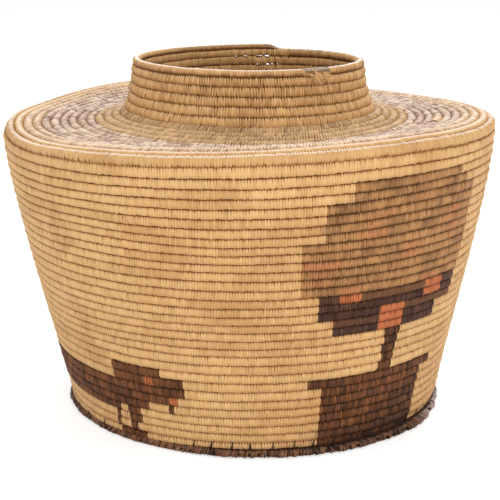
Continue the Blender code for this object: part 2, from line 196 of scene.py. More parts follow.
# Dyed runs: name, first and last course, degrees from the front (right is positive)
FIGURES = (
    ("tree_canopy", 4, 4, 22, 53),
    ("tree_canopy", 5, 5, 22, 56),
    ("tree_canopy", 6, 9, 16, 60),
    ("tree_canopy", 10, 15, 11, 60),
    ("tree_branches", 16, 18, 15.5, 59),
    ("tree_branches", 19, 20, 19.5, 52),
    ("tree_fruit_left", 16, 16, 20.5, 26),
    ("tree_fruit_middle", 18, 20, 32, 39.5),
    ("tree_fruit_right", 16, 17, 46, 53),
    ("tree_trunk", 21, 21, 34.5, 39.6),
    ("tree_trunk", 22, 22, 34.9, 39.1),
    ("tree_trunk", 23, 23, 34.4, 38.9),
    ("tree_trunk", 24, 24, 34.8, 38.8),
    ("tree_trunk", 25, 25, 34.1, 38.7),
    ("tree_pot", 26, 26, 14.1, 56.6),
    ("tree_pot", 27, 33, 18.0, 52.5),
    ("animal_body", 25, 25, -40.0, -24.6),
    ("animal_body", 26, 26, -40.0, -18.4),
    ("animal_body", 27, 27, -99, -18.2),
    ("animal_body", 28, 28, -99, -22.7),
    ("animal_body", 29, 29, -99, -29.5),
    ("animal_body", 30, 30, -96, -40),
    ("animal_body", 30, 31, -37.4, -32.8),
    ("animal_body", 32, 32, -37.4, -34.8),
    ("animal_body", 31, 32, -93, -88),
    ("animal_body", 33, 33, -41.7, -32.1),
    ("animal_body", 33, 33, -97, -88),
    ("animal_eye", 26, 26, -29.6, -27.2),
    ("animal_tongue", 28, 28, -22.7, -20.4),
    ("animal_body", 29, 29, -23.4, -21.9),
    ("animal_body", 31, 31, -42.2, -40.8),
    ("animal_body", 32, 32, -42.8, -41.4),
)

# Where strands are more orange (above 0) or darker (below 0): courses, degrees and how much
TINTS = (
    (5, 6, 37.5, 43.5, 0.20),
    (7, 7, 28.0, 31.5, 0.30),
    (8, 9, 23.5, 29.5, 0.42),
    (10, 10, 24.0, 28.5, 0.28),
    (7, 8, 52.0, 54.0, 0.60),
    (9, 9, 49.0, 53.0, 0.22),
    (10, 12, 51.5, 55.0, 0.38),
    (11, 12, 36.5, 42.0, 0.36),
    (13, 13, 32.0, 36.0, 0.20),
    (12, 12, 11.5, 19.5, 0.55),
    (13, 14, 12.5, 18.0, 0.26),
    (15, 15, 20.0, 27.0, 0.34),
    (15, 15, 43.0, 49.0, 0.40),
    (7, 7, 44.5, 47.5, -0.60),
    (9, 9, 41.0, 44.0, -0.40),
    (8, 9, 31.5, 34.0, -0.35),
    (10, 10, 50.0, 51.5, -0.55),
    (8, 9, 15.5, 18.5, -0.30),
    (12, 12, 11.5, 15.0, -0.30),
    (5, 5, 22.0, 25.0, -0.25),
    (16, 16, -22.0, -16.5, 0.25),
    (16, 16, -16.5, 8.5, 0.14),
    (26, 26, -3.0, 4.5, 0.20),
    (12, 12, -7.0, -3.5, 0.20),
    (16, 16, 26.0, 46.0, 0.80),
    (18, 18, 39.5, 59.0, 0.55),
    (19, 19, 19.5, 32.0, 0.35),
    (32, 33, 18.0, 52.5, -0.45),
)


def cubic(start: Vector, leave: Vector, arrive: Vector, end: Vector) -> list[Vector]:
    """Points of a cubic Bezier curve.

    Args:
        start: First point.
        leave: Handle of the first point.
        arrive: Handle of the last point.
        end: Last point.

    Returns:
        The points from start to end.
    """
    points = []
    for step in range(PATH_STEPS + 1):
        t = step / PATH_STEPS
        u = 1.0 - t
        points.append(
            start * u**3 + leave * (3 * t * u * u) + arrive * (3 * t * t * u) + end * t**3
        )
    return points


def arc(centre: Vector, radius: float, first: float, last: float) -> list[Vector]:
    """Points of an arc.

    Args:
        centre: The arc's centre.
        radius: Its radius.
        first: First angle, degrees from the outward direction.
        last: Last angle.

    Returns:
        The points from first to last.
    """
    angles = [
        math.radians(first + (last - first) * step / PATH_STEPS)
        for step in range(PATH_STEPS + 1)
    ]
    return [centre + Vector((math.cos(a), math.sin(a))) * radius for a in angles]


def ramp(value: float, first: float, last: float) -> float:
    """A smooth rise.

    Args:
        value: Where on the rise.
        first: The rise starts here, at 0.
        last: The rise ends here, at 1.

    Returns:
        A number from 0 to 1.
    """
    share = min(max((value - first) / (last - first), 0.0), 1.0)
    return share * share * (3.0 - 2.0 * share)


class CoilPath:
    """The middle of the basket's wall as (radius, height), measured off in courses."""

    def __init__(self) -> None:
        """Lay the whole section out, from the middle of the base to above the rim."""
        self.base_height = BASE_CLEARANCE + COIL_OUTSIDE
        self.heel = Vector((
            FOOT_RADIUS - COIL_OUTSIDE - HEEL_BEND,
            self.base_height + HEEL_BEND,
        ))
        self.edge = Vector((
            SHOULDER_RADIUS - COIL_OUTSIDE - EDGE_BEND,
            SHOULDER_HEIGHT - COIL_OUTSIDE - EDGE_BEND,
        ))
        self.neck_foot = Vector((
            NECK_FOOT_RADIUS - COIL_OUTSIDE,
            SHOULDER_HEIGHT + SHOULDER_RISE - COIL_OUTSIDE,
        ))
        self.rim = Vector((
            MOUTH_RADIUS - COIL_OUTSIDE,
            SHOULDER_HEIGHT + SHOULDER_RISE + NECK_HEIGHT,
        ))
        self.points: list[Vector] = []
        self.lengths: list[float] = []
        self.marks: list[tuple[float, float]] = [(0, 0.0)]
        for turns, points in (
            (BASE_COURSES, self.base()),
            (WALL_TOP, self.wall()),
            (SHOULDER_TOP, self.shoulder()),
            (SHOULDER_TOP + NECK_COURSES, self.neck()),
        ):
            self.extend(points)
            self.marks.append((turns, self.lengths[-1]))
        last_pitch = self.pitch(SHOULDER_TOP + NECK_COURSES)
        upward = (self.points[-1] - self.points[-2]).normalized()
        self.extend([self.rim + upward * 2.0 * last_pitch])
        even = {turns: self.distance(turns) + drift for turns, drift in COURSE_DRIFT}
        self.marks = sorted({**dict(self.marks), **even}.items())

    def base(self) -> list[Vector]:
        """Flat from the start knot to the heel, and half of the heel's bend."""
        knot = Vector((START_KNOT_RADIUS, self.base_height))
        rim = Vector((self.heel.x, self.base_height))
        return [knot, rim] + arc(self.heel, HEEL_BEND, -90.0, -45.0)

    def wall(self) -> list[Vector]:
        """The rest of the heel, the flaring wall and the bend into the shoulder."""
        low = self.heel + Vector((HEEL_BEND, 0.0))
        high = self.edge + Vector((EDGE_BEND, 0.0))
        rise = high - low
        belly = Vector((WALL_BELLY, 0.0))
        flare = cubic(low, low + rise * FLARE_HOLD, high - rise * BELLY_HOLD + belly, high)
        return arc(self.heel, HEEL_BEND, -45.0, 0.0) + flare + arc(self.edge, EDGE_BEND, 0.0, 90.0)

    def shoulder(self) -> list[Vector]:
        """Level at the edge, hollow half way in, rising to the foot of the neck."""
        outer = self.edge + Vector((0.0, EDGE_BEND))
        span = outer.x - self.neck_foot.x
        leave = outer - Vector((span * SHOULDER_OUTER_HOLD, 0.0))
        arrive = self.neck_foot + Vector((span * SHOULDER_INNER_HOLD, -SHOULDER_HOLLOW))
        return cubic(outer, leave, arrive, self.neck_foot)

    def neck(self) -> list[Vector]:
        """A curve up from the shoulder, then nearly straight to the rim."""
        bend = self.rim + Vector((NECK_TAPER, -NECK_STRAIGHT_HEIGHT))
        run = bend - self.neck_foot
        leave = self.neck_foot + Vector((run.x * NECK_INWARD_HOLD, run.y * NECK_UPWARD_HOLD))
        arrive = bend - Vector((run.x * NECK_UPWARD_HOLD, run.y * NECK_TOP_HOLD))
        return cubic(self.neck_foot, leave, arrive, bend) + [self.rim]

    def extend(self, points: Iterable[Vector]) -> None:
        """Add points, with the distance walked so far.

        Args:
            points: The points that follow.
        """
        for point in points:
            step = (point - self.points[-1]).length if self.points else 0.0
            if not self.points or step > 1e-6:
                self.lengths.append(self.lengths[-1] + step if self.points else 0.0)
                self.points.append(point)

    def distance(self, turns: float) -> float:
        """The distance along the wall's middle at so many turns."""
        index = bisect_left([mark[0] for mark in self.marks], turns)
        index = min(max(index, 1), len(self.marks) - 1)
        first, start = self.marks[index - 1]
        last, end = self.marks[index]
        return start + (turns - first) * (end - start) / (last - first)

    def pitch(self, turns: float) -> float:
        """The width of one course there."""
        return self.distance(turns + 0.5) - self.distance(turns - 0.5)

    def middle(self, walked: float) -> Vector:
        """The (radius, height) after walking so far; before 0 it runs on to the middle."""
        walked = min(walked, self.lengths[-1])
        index = min(max(bisect_right(self.lengths, walked), 1), len(self.points) - 1)
        start, end = self.lengths[index - 1], self.lengths[index]
        return self.points[index - 1].lerp(self.points[index], (walked - start) / (end - start))

    def at(self, turns: float) -> tuple[Vector, Vector]:
        """The (radius, height) there, and the direction that points out of the basket."""
        walked = self.distance(turns)
        reach = COIL_INSIDE * 0.5
        along = (self.middle(walked + reach) - self.middle(walked - reach)).normalized()
        return self.middle(walked), Vector((along.y, -along.x))


PATH = CoilPath()


def swell(point: Vector, turns: float) -> float:
    """How much higher the hand-made form is than an even one.

    Args:
        point: A point of the even basket.
        turns: Its place on the coil.

    Returns:
        The height to add.
    """
    degrees = math.degrees(math.atan2(point.x, -point.y))
    height = 0.0
    for aside, middle, wide, tall, rise in SWELLS:
        if abs(turns - middle) < 3.0 * tall:
            apart = (degrees - aside + 180.0) % 360.0 - 180.0
            height += rise * math.exp(-((apart / wide) ** 2) - ((turns - middle) / tall) ** 2)
    return height


def settle(point: Vector, turns: float) -> Vector:
    """Lean, tilt and warp a point as the hand-made basket does.

    Args:
        point: A point of the even basket.
        turns: Its place on the coil.

    Returns:
        Where it is in the basket.
    """
    rise = max(0.0, point.z - PATH.heel.y) / (SHOULDER_HEIGHT - PATH.heel.y)
    inward = ramp(turns, WALL_TOP, WALL_TOP + LEVEL_COURSES)
    wall_tilt = math.tan(math.radians(WALL_TILT_DEGREES)) * (1.0 - inward)
    neck_tilt = math.tan(math.radians(NECK_TILT_DEGREES)) * inward
    tilt = (wall_tilt + neck_tilt) * ramp(turns, BASE_COURSES, BASE_COURSES + TILT_COURSES)
    warp = SADDLE_WARP * ramp(turns, WALL_TOP - WARP_COURSES, WALL_TOP) * (1.0 - inward)
    corner = -2.0 * point.x * point.y / max(point.x**2 + point.y**2, 1e-9)
    return Vector((
        point.x + LEAN * (1.0 - rise),
        point.y,
        point.z + tilt * point.x + warp * corner + swell(point, turns),
    ))


def place(turns: float, across: float = 0.0, outward: float = 0.0) -> Vector:
    """A point of the coil.

    Args:
        turns: Its place along the coil.
        across: How many courses further up.
        outward: How far out of the wall's middle.

    Returns:
        The point.
    """
    middle, outside = PATH.at(turns + across)
    radius, height = middle + outside * outward
    angle = -0.5 * math.pi - 2.0 * math.pi * turns
    point = Vector((radius * math.cos(angle), radius * math.sin(angle), height))
    return settle(point, turns + across)


def behind(turns: float) -> float:
    """0 at the front of the basket, 1 at the back."""
    return 0.5 - 0.5 * math.cos(2.0 * math.pi * turns)


def wander(turns: float) -> float:
    """How far a groove lies off its even line, in courses: hand work is never quite even."""
    uneven = GROOVE_WANDER * (
        math.sin(turns * 23.1 + 1.0) * 0.55
        + math.sin(turns * 57.7 + 4.0) * 0.35
        + math.sin(turns * 131.3) * 0.30
    )
    return uneven - RIM_SINK * behind(turns) * ramp(turns, COIL_END - 1.3, COIL_END - 0.1)


def opening(turns: float) -> float:
    """How far the courses part at a groove, in courses."""
    course, part = divmod(turns, 1.0)
    return max(
        OPEN_GAP * ramp(part, first - OPEN_EDGE, first) * ramp(part, last + OPEN_EDGE, last)
        if course == above else 0.0
        for above, first, last in OPENINGS
    )


def open_spans() -> list[Span]:
    """The stretches of sewing on either side of the open grooves, in order."""
    sides = [
        (course + first - OPEN_EDGE, course + last + OPEN_EDGE)
        for above, first, last in OPENINGS for course in (above - 1, above)
    ]
    spans: list[Span] = []
    for first, last in sorted(sides):
        if spans and first < spans[-1][1]:
            first, last = spans[-1][0], max(spans.pop()[1], last)
        spans.append((first, last))
    return spans


def swelling(turns: float) -> float:
    """How much thicker the bundle is there."""
    return BUNDLE_SWELLING * (math.sin(turns * 37.9) + math.sin(turns * 91.7 + 2.0))


def groove_depth(turns: float) -> float:
    """The depth of the outer groove, which is shallow on the wall and deep above it."""
    top = ramp(turns, WALL_TOP + 0.2, WALL_TOP + 1.6)
    foot = math.exp(-((turns - SHOULDER_TOP + 0.5) / 0.7) ** 2) * (1.0 - behind(turns))
    neck = ramp(turns, SHOULDER_TOP, SHOULDER_TOP + 1.0)
    even = WALL_GROOVE + (TOP_GROOVE - WALL_GROOVE) * top + (NECK_GROOVE - TOP_GROOVE) * neck
    return even + NECK_FOOT_GROOVE * foot + BACK_GROOVE * top * (1.0 - neck) * behind(turns)


@dataclass(frozen=True)
class Seat:
    """Where one stitch sits: the middle of its chord, and its three directions."""

    turns: float
    middle: Vector
    span: Vector
    rise: Vector

    @property
    def along(self) -> Vector:
        """The direction of the coil, so that along, span and rise are right-handed."""
        return self.span.cross(self.rise).normalized()


def seat_between(turns: float, low: Vector, high: Vector, crest: Vector) -> Seat:
    """The seat of a strand that arches over a crest.

    Args:
        turns: Its place along the coil.
        low: Where the strand comes out of the lower groove.
        high: Where it goes into the upper groove.
        crest: The top of its arch.

    Returns:
        The seat.
    """
    middle = (low + high) * 0.5
    return Seat(turns, middle, high - low, crest - middle)


def outer_seat(turns: float) -> Seat:
    """The seat of a stitch on the outside of the basket."""
    low = wander(turns) + opening(turns)
    high = 1.0 + wander(turns + 1.0) - opening(turns + 1.0)
    return seat_between(
        turns,
        place(turns, low, COIL_OUTSIDE - groove_depth(turns)),
        place(turns, high, COIL_OUTSIDE - groove_depth(turns + 1.0)),
        place(turns, 0.5 * (low + high), COIL_OUTSIDE + swelling(turns)),
    )


def inner_seat(turns: float) -> Seat:
    """The seat of a stitch on the inside of the basket."""
    low = wander(turns) + opening(turns)
    high = 1.0 + wander(turns + 1.0) - opening(turns + 1.0)
    return seat_between(
        turns,
        place(turns, high, INNER_GROOVE - COIL_INSIDE),
        place(turns, low, INNER_GROOVE - COIL_INSIDE),
        place(turns, 0.5 * (low + high), -COIL_INSIDE),
    )


def full_height(turns: float) -> float:
    """Where the last turn's top is, in courses: lower in front, and thinned out to its end."""
    late = ramp(turns, COIL_END - 0.6, COIL_END - 0.1)
    whole = 1.0 - RIM_DROP * (1.0 - behind(turns)) - behind(turns) * late * RIM_THINNING
    taper = ramp(COIL_END - turns, -0.1 * END_TAPER, END_TAPER)
    return RIM_TIP_HEIGHT + (whole - RIM_TIP_HEIGHT) * taper


def rim_seat(turns: float) -> Seat:
    """The seat of a stitch that goes all round the last turn."""
    thick = 0.5 * (COIL_OUTSIDE + COIL_INSIDE)
    low, high = wander(turns), full_height(turns)
    return seat_between(
        turns,
        place(turns, low, COIL_OUTSIDE - thick),
        place(turns, high, COIL_OUTSIDE - thick),
        place(turns, 0.5 * (low + high), COIL_OUTSIDE - 0.3 * thick * (1.0 - high)),
    )


def tint_at(turns: float) -> float:
    """How orange, or if below 0 how dark, a strand of the wall is there."""
    for top, bottom, left, right, tint in TINTS:
        for course in range(top, bottom + 1):
            ragged = 1.2 * math.sin(course * 2.4 + left)
            first = WALL_TOP - course - (right + ragged) / 360.0
            last = WALL_TOP - course - (left - ragged) / 360.0
            if first <= turns < last:
                return tint
    return 0.0


class Owners:
    """Which named run each place of the coil belongs to."""

    def __init__(self) -> None:
        """Turn the figures' courses and degrees into turns."""
        self.runs: list[tuple[str, float, float]] = []
        for name, top, bottom, left, right in FIGURES:
            for course in range(top, bottom + 1):
                front = WALL_TOP - course
                self.runs.append((name, front - right / 360.0, front - left / 360.0))

    def owner(self, turns: float) -> str | None:
        """The figure drawn last at a place, or None for the plain basket."""
        for name, first, last in reversed(self.runs):
            if first <= turns < last:
                return name
        return None

    def spans(self, first: float, last: float, owner: str | None) -> list[Span]:
        """The stretches that one owner has.

        Args:
            first: Where to start looking, in turns.
            last: Where to stop.
            owner: A figure's name, or None for the plain basket.

        Returns:
            First and last turn of each stretch.
        """
        borders = {edge for _, low, high in self.runs for edge in (low, high)}
        cuts = sorted({first, last} | {edge for edge in borders if first < edge < last})
        found: list[Span] = []
        for low, high in zip(cuts, cuts[1:]):
            if self.owner(0.5 * (low + high)) != owner:
                continue
            if found and abs(found[-1][1] - low) < 1e-9:
                low = found.pop()[0]
            found.append((low, high))
        return found


OWNERS = Owners()


# Node trees as expressions


class Term:
    """A socket that takes part in arithmetic."""

    def __init__(self, bench: "Bench", socket: bpy.types.NodeSocket) -> None:
        """Wrap one output socket of a bench's tree."""
        self.bench = bench
        self.socket = socket

    @property
    def wide(self) -> bool:
        """Whether it holds three numbers."""
        return self.socket.type in {"VECTOR", "RGBA"}

    def __add__(self, other: Any) -> "Term":
        """Sum."""
        return self.bench.combine("ADD", self, other)

    def __radd__(self, other: Any) -> "Term":
        """Sum."""
        return self.bench.combine("ADD", other, self)

    def __sub__(self, other: Any) -> "Term":
        """Difference."""
        return self.bench.combine("SUBTRACT", self, other)

    def __rsub__(self, other: Any) -> "Term":
        """Difference."""
        return self.bench.combine("SUBTRACT", other, self)

    def __mul__(self, other: Any) -> "Term":
        """Product."""
        return self.bench.combine("MULTIPLY", self, other)

    def __rmul__(self, other: Any) -> "Term":
        """Product."""
        return self.bench.combine("MULTIPLY", other, self)

    def __truediv__(self, other: Any) -> "Term":
        """Quotient."""
        return self.bench.combine("DIVIDE", self, other)

    def __rtruediv__(self, other: Any) -> "Term":
        """Quotient."""
        return self.bench.combine("DIVIDE", other, self)

    def unary(self, operation: str) -> "Term":
        """One Math node on this value."""
        return self.bench.combine(operation, self, 0.0)

    def floor(self) -> "Term":
        """The whole number below."""
        return self.unary("FLOOR")

    def absolute(self) -> "Term":
        """Without its sign."""
        return self.unary("ABSOLUTE")

    def at_most(self, other: Any) -> "Term":
        """The smaller of the two."""
        return self.bench.combine("MINIMUM", self, other)

    def at_least(self, other: Any) -> "Term":
        """The larger of the two."""
        return self.bench.combine("MAXIMUM", self, other)

    def rise(self, first: float, last: float) -> "Term":
        """A smooth step from 0 at first to 1 at last."""
        node = self.bench.add(
            "ShaderNodeMapRange",
            {"interpolation_type": "SMOOTHSTEP"},
            {"Value": self, "From Min": first, "From Max": last},
        )
        return self.bench.out(node, "Result")

    def length(self) -> "Term":
        """The length of a vector."""
        node = self.bench.add("ShaderNodeVectorMath", {"operation": "LENGTH"}, {0: self})
        return self.bench.out(node, "Value")

    def part(self, axis: str) -> "Term":
        """The X, Y or Z of a vector."""
        node = self.bench.add("ShaderNodeSeparateXYZ", {}, {"Vector": self})
        return self.bench.out(node, axis)


class Bench:
    """A node tree that nodes are put together in."""

    def __init__(self, tree: bpy.types.NodeTree) -> None:
        """Work on a tree."""
        self.tree = tree

    def add(
        self, kind: str, settings: dict[str, Any], sockets: dict[str | int, Any]
    ) -> bpy.types.Node:
        """Add a node.

        Args:
            kind: The node's type.
            settings: Its settings, set before its sockets.
            sockets: Values or Terms by socket name or index.

        Returns:
            The node.
        """
        node = self.tree.nodes.new(kind)
        for name, value in settings.items():
            setattr(node, name, value)
        for key, value in sockets.items():
            self.feed(self.find(node.inputs, key), value)
        return node

    def find(self, sockets: Any, key: str | int) -> bpy.types.NodeSocket:
        """The socket at an index, or the first that is in use with a name."""
        if isinstance(key, int):
            return sockets[key]
        return next(s for s in sockets if s.name == key and s.enabled)

    def feed(self, socket: bpy.types.NodeSocket, value: Any) -> None:
        """Link a Term to a socket, or set its value."""
        if isinstance(value, Term):
            self.tree.links.new(value.socket, socket)
        elif isinstance(value, tuple) and socket.type == "RGBA":
            socket.default_value = (*value[:3], 1.0)
        else:
            socket.default_value = value

    def out(self, node: bpy.types.Node, key: str | int = 0) -> Term:
        """An output of a node."""
        return Term(self, self.find(node.outputs, key))

    def combine(self, operation: str, first: Any, second: Any) -> Term:
        """Arithmetic on two values, of which either may be a Term.

        Args:
            operation: The Math node's operation.
            first: A Term, number or vector.
            second: A Term, number or vector.

        Returns:
            The result.
        """
        wides = [isinstance(v, tuple) or isinstance(v, Term) and v.wide for v in (first, second)]
        if not any(wides):
            node = self.add("ShaderNodeMath", {"operation": operation}, {0: first, 1: second})
            return self.out(node, "Value")
        if operation == "MULTIPLY" and not all(wides):
            vector, scale = (first, second) if wides[0] else (second, first)
            settings = {"operation": "SCALE"}
            node = self.add("ShaderNodeVectorMath", settings, {0: vector, "Scale": scale})
            return self.out(node, "Vector")
        node = self.add("ShaderNodeVectorMath", {"operation": operation}, {0: first, 1: second})
        return self.out(node, "Vector")

    def vector(self, x: Any, y: Any, z: Any = 0.0) -> Term:
        """A vector from three values."""
        node = self.add("ShaderNodeCombineXYZ", {}, {"X": x, "Y": y, "Z": z})
        return self.out(node, "Vector")

    def mix(self, share: Any, first: Any, second: Any, blend: str = "MIX") -> Term:
        """Mix two colours.

        Args:
            share: How much of the second.
            first: A colour.
            second: A colour.
            blend: The way of mixing.

        Returns:
            The mixed colour.
        """
        settings = {"data_type": "RGBA", "blend_type": blend}
        node = self.add("ShaderNodeMix", settings, {0: share, 6: first, 7: second})
        return self.out(node, 2)

    def attribute(self, name: str, wide: bool = False) -> Term:
        """An attribute of the mesh, in a material."""
        node = self.add("ShaderNodeAttribute", {"attribute_name": name}, {})
        return self.out(node, "Vector" if wide else "Fac")

    def noise(self, where: Term, scale: float, detail: float = 2.0, rough: float = 0.5) -> Term:
        """A noise value, 0 to 1, at a place."""
        node = self.add(
            "ShaderNodeTexNoise",
            {},
            {"Vector": where, "Scale": scale, "Detail": detail, "Roughness": rough},
        )
        return self.out(node, 0)

    def place(self) -> Term:
        """The place on the object, in metres."""
        return self.out(self.add("ShaderNodeTexCoord", {}, {}), "Object")

    def normal(self) -> Term:
        """The direction that the surface faces."""
        return self.out(self.add("ShaderNodeNewGeometry", {}, {}), "Normal")


# Finishes


class Surface(NamedTuple):
    """What a finish feeds to its shader."""

    colour: Term
    roughness: Term
    height: Term
    bump_strength: float
    bump_distance: float
    gloss: float


@dataclass(frozen=True)
class Finish:
    """A finish with a name, and a material that is made once."""

    name: str

    def surface(self, bench: Bench) -> Surface:
        """Put the finish's nodes together on a bench."""
        raise NotImplementedError

    def material(self) -> bpy.types.Material:
        """Build the finish.

        Returns:
            The material, made once.
        """
        known = bpy.data.materials.get(self.name)
        if known:
            return known
        material = bpy.data.materials.new(self.name)
        material.use_nodes = True
        bench = Bench(material.node_tree)
        surface = self.surface(bench)
        bump = bench.add("ShaderNodeBump", {}, {
            "Strength": surface.bump_strength,
            "Distance": surface.bump_distance,
            "Height": surface.height,
        })
        shader = material.node_tree.nodes["Principled BSDF"]
        bench.feed(shader.inputs["Base Color"], surface.colour)
        bench.feed(shader.inputs["Roughness"], surface.roughness)
        bench.feed(shader.inputs["Normal"], bench.out(bump))
        shader.inputs["Specular IOR Level"].default_value = surface.gloss
        return material


@dataclass(frozen=True)
class StrandFinish(Finish):
    """Plant strands of one colour: grain, splints of different tone, stains, dirt, painted shade and
    painted highlights.
    """

    slot: str
    light: Colour
    deep: Colour
    stain: Colour
    tint: Colour
    # Darkening in the seams and between stitches goes toward this colour: real dirt together with
    # painted shade in the grooves.
    dirt_and_shade: Colour
    # Colour that negative tints mix toward: darker dye on the figures, and painted shade on the rim
    # behind and below the neck.
    shade: Colour = (0.090, 0.040, 0.022)
    stain_share: float = 0.35
    stain_size: float = 0.055
    patch_share: float = 0.55
    splint_share: float = 0.16
    stitch_share: float = 0.34
    grain_share: float = 0.36
    base_share: float = 0.26
    # How strong and how wide the dirt and painted shade in the seams are, and how much of it stays
    # low on the wall.
    dirt_and_shade_share: float = 0.85
    dirt_and_shade_from: float = 0.17
    dirt_and_shade_to: float = 0.42
    low_dirt_and_shade: float = 1.0
    gap_share: float = 0.30
    # Painted shade: down-facing surfaces are mixed toward the deep tone.
    underside_shade_share: float = 0.0
    # Painted highlight: up-facing surfaces are mixed toward this colour, standing in for the sheen of
    # a top light.
    highlight_colour: Colour = (0.90, 0.80, 0.70)
    highlight_share: float = 0.12
    highlight_from: float = 0.45
    # Painted light and shade that are stronger behind: more highlight on the crests and darker seams
    # at the back.
    back_highlight_and_shade_share: float = 0.0
    scuff_share: float = 0.0
    roughness: float = 0.55
    gloss: float = 0.30

    def surface(self, bench: Bench) -> Surface:
        """Strands that run across the coil, dark in the seams from dirt and painted shade, with
        painted highlights on up-facing faces and painted shade on down-facing ones.
        """
        strand = bench.attribute("strand", wide=True)
        across, length = strand.part("X"), strand.part("Y")
        stitch = bench.attribute("stitch_tone")
        splint = bench.attribute("splint_tone")
        tint = bench.attribute("tint")
        where = bench.place()
        grain = bench.noise(
            bench.vector(across * 7.0 + stitch * 91.0, length * 0.9 + splint * 37.0), 1.0, 3.0, 0.6
        )
        blotch = bench.noise(where, 1.0 / self.stain_size, 4.0, 0.62)
        patch = bench.noise(where + (3.1, 1.7, 5.3), 0.3 / self.stain_size, 2.0, 0.5)
        depth = (
            (splint - 0.5) * self.splint_share
            + (stitch - 0.5) * self.stitch_share
            + (grain - 0.5) * (2.0 * self.grain_share)
            + (patch - 0.5) * self.patch_share
            + self.base_share
        )
        colour = bench.mix(depth.at_least(0.0).at_most(1.0), self.light, self.deep)
        stained = (blotch + splint * 0.16).rise(0.52, 0.78) * self.stain_share
        colour = bench.mix(stained, colour, self.stain)
        tinted = tint.at_least(0.0) * (grain * 0.8 + blotch * 1.2)
        colour = bench.mix(tinted.at_most(1.0), colour, self.tint)
        # Negative tints darken toward the shade colour: darker dye, dark marks, darker stitches under
        # the tuft, and painted shade on the rim behind and below the neck.
        colour = bench.mix((0.0 - tint).at_least(0.0) * (0.4 + grain), colour, self.shade)
        normal = bench.normal()
        # Painted light and shade that grow toward the back of the basket.
        back_highlight_and_shade = where.part("Y").rise(-0.08, 0.10) * self.back_highlight_and_shade_share
        # Painted highlight on up-facing surfaces, joined with real pale scuffs.
        worn = normal.part("Z").rise(self.highlight_from, 0.98) * (back_highlight_and_shade + self.highlight_share)
        scuff = (bench.noise(where, 160.0, 3.0, 0.6) + grain * 0.2).rise(0.66, 0.86)
        worn = (worn * (grain * 0.4 + stitch * 0.2 + 0.6)).at_least(scuff * self.scuff_share)
        colour = bench.mix(worn.at_most(1.0), colour, self.highlight_colour)
        # Painted shade on surfaces that face down.
        under = (0.0 - normal.part("Z")).rise(-0.25, 0.75) * self.underside_shade_share
        colour = bench.mix(under, colour, self.deep)
        # Dirt and painted shade in the seams and between stitches, stronger behind and weaker low on
        # the wall.
        seam = (length.absolute() + (stitch - 0.5) * 0.09).rise(self.dirt_and_shade_from, self.dirt_and_shade_to)
        gap = across.absolute().rise(0.30, 0.54) * self.gap_share
        high = where.part("Z").rise(0.05, 0.19) * (1.0 - self.low_dirt_and_shade) + self.low_dirt_and_shade
        spread = 0.30 + blotch * 1.3 + back_highlight_and_shade
        dirt_and_shade_mask = (seam.at_least(gap) * spread).at_most(1.0) * self.dirt_and_shade_share * high
        colour = bench.mix(dirt_and_shade_mask, colour, self.dirt_and_shade)
        roughness = self.roughness + (grain - 0.5) * 0.24 + dirt_and_shade_mask * 0.25
        return Surface(colour, roughness, grain + stitch * 0.2, 0.55, 0.00025, self.gloss)


@dataclass(frozen=True)
class StemFinish(Finish):
    """Stems and fibres that aren't sewing: the bundle in the gaps, the bare core, loose ends."""

    light: Colour
    dark: Colour
    # Painted highlight colour on up-facing crests.
    crest: Colour = (0.90, 0.77, 0.64)
    crest_highlight_share: float = 0.0
    roughness: float = 0.85
    gloss: float = 0.08

    def surface(self, bench: Bench) -> Surface:
        """Fine straws of two tones, with a painted highlight on up-facing crests."""
        where = bench.place()
        straw = bench.noise(where, 900.0, 3.0, 0.6)
        patch = bench.noise(where, 60.0, 2.0, 0.5)
        share = (straw * 0.7 + patch * 0.6 - 0.15).at_least(0.0).at_most(1.0)
        colour = bench.mix(share, self.dark, self.light)
        # Painted highlight on surfaces that face up.
        worn = bench.normal().part("Z").rise(0.80, 0.97) * self.crest_highlight_share
        colour = bench.mix(worn, colour, self.crest)
        return Surface(colour, self.roughness - straw * 0.1, straw, 0.6, 0.0003, self.gloss)


# In the finishes below, the pale colour mixed onto up-facing surfaces is a painted highlight, the
# darkening of down-facing surfaces is painted shade, and the darkening in the seams and between
# stitches is dirt together with painted shade.
NATURAL = StrandFinish(
    name="natural_strand_finish",
    slot="natural_strand",
    light=(0.780, 0.480, 0.205),
    deep=(0.470, 0.225, 0.072),
    stain=(0.430, 0.190, 0.058),
    tint=(0.520, 0.200, 0.070),
    dirt_and_shade=(0.380, 0.142, 0.032),
    dirt_and_shade_share=0.82,
    low_dirt_and_shade=0.58,
    gap_share=0.20,
    scuff_share=0.08,
)
EDGE = replace(
    NATURAL,
    name="edge_strand_finish",
    light=(0.680, 0.410, 0.170),
    highlight_colour=(0.960, 0.880, 0.790),
    highlight_share=0.58,
    highlight_from=0.78,
    dirt_and_shade_share=0.85,
    dirt_and_shade_from=0.36,
    dirt_and_shade_to=0.52,
)
SHOULDER = StrandFinish(
    name="shoulder_strand_finish",
    slot="natural_strand",
    light=(0.740, 0.520, 0.310),
    deep=(0.480, 0.285, 0.150),
    stain=(0.430, 0.250, 0.140),
    tint=(0.740, 0.450, 0.190),
    dirt_and_shade=(0.290, 0.138, 0.052),
    dirt_and_shade_share=0.88,
    dirt_and_shade_from=0.16,
    gap_share=0.60,
    splint_share=0.60,
    stitch_share=0.80,
    base_share=0.36,
    highlight_colour=(0.980, 0.920, 0.860),
    highlight_share=0.60,
    highlight_from=0.92,
    back_highlight_and_shade_share=0.20,
    roughness=0.46,
    gloss=0.45,
)
SPLICE = replace(
    SHOULDER,
    name="splice_strand_finish",
    light=(0.860, 0.540, 0.270),
    deep=(0.660, 0.370, 0.160),
    dirt_and_shade_share=0.30,
    highlight_share=0.90,
)
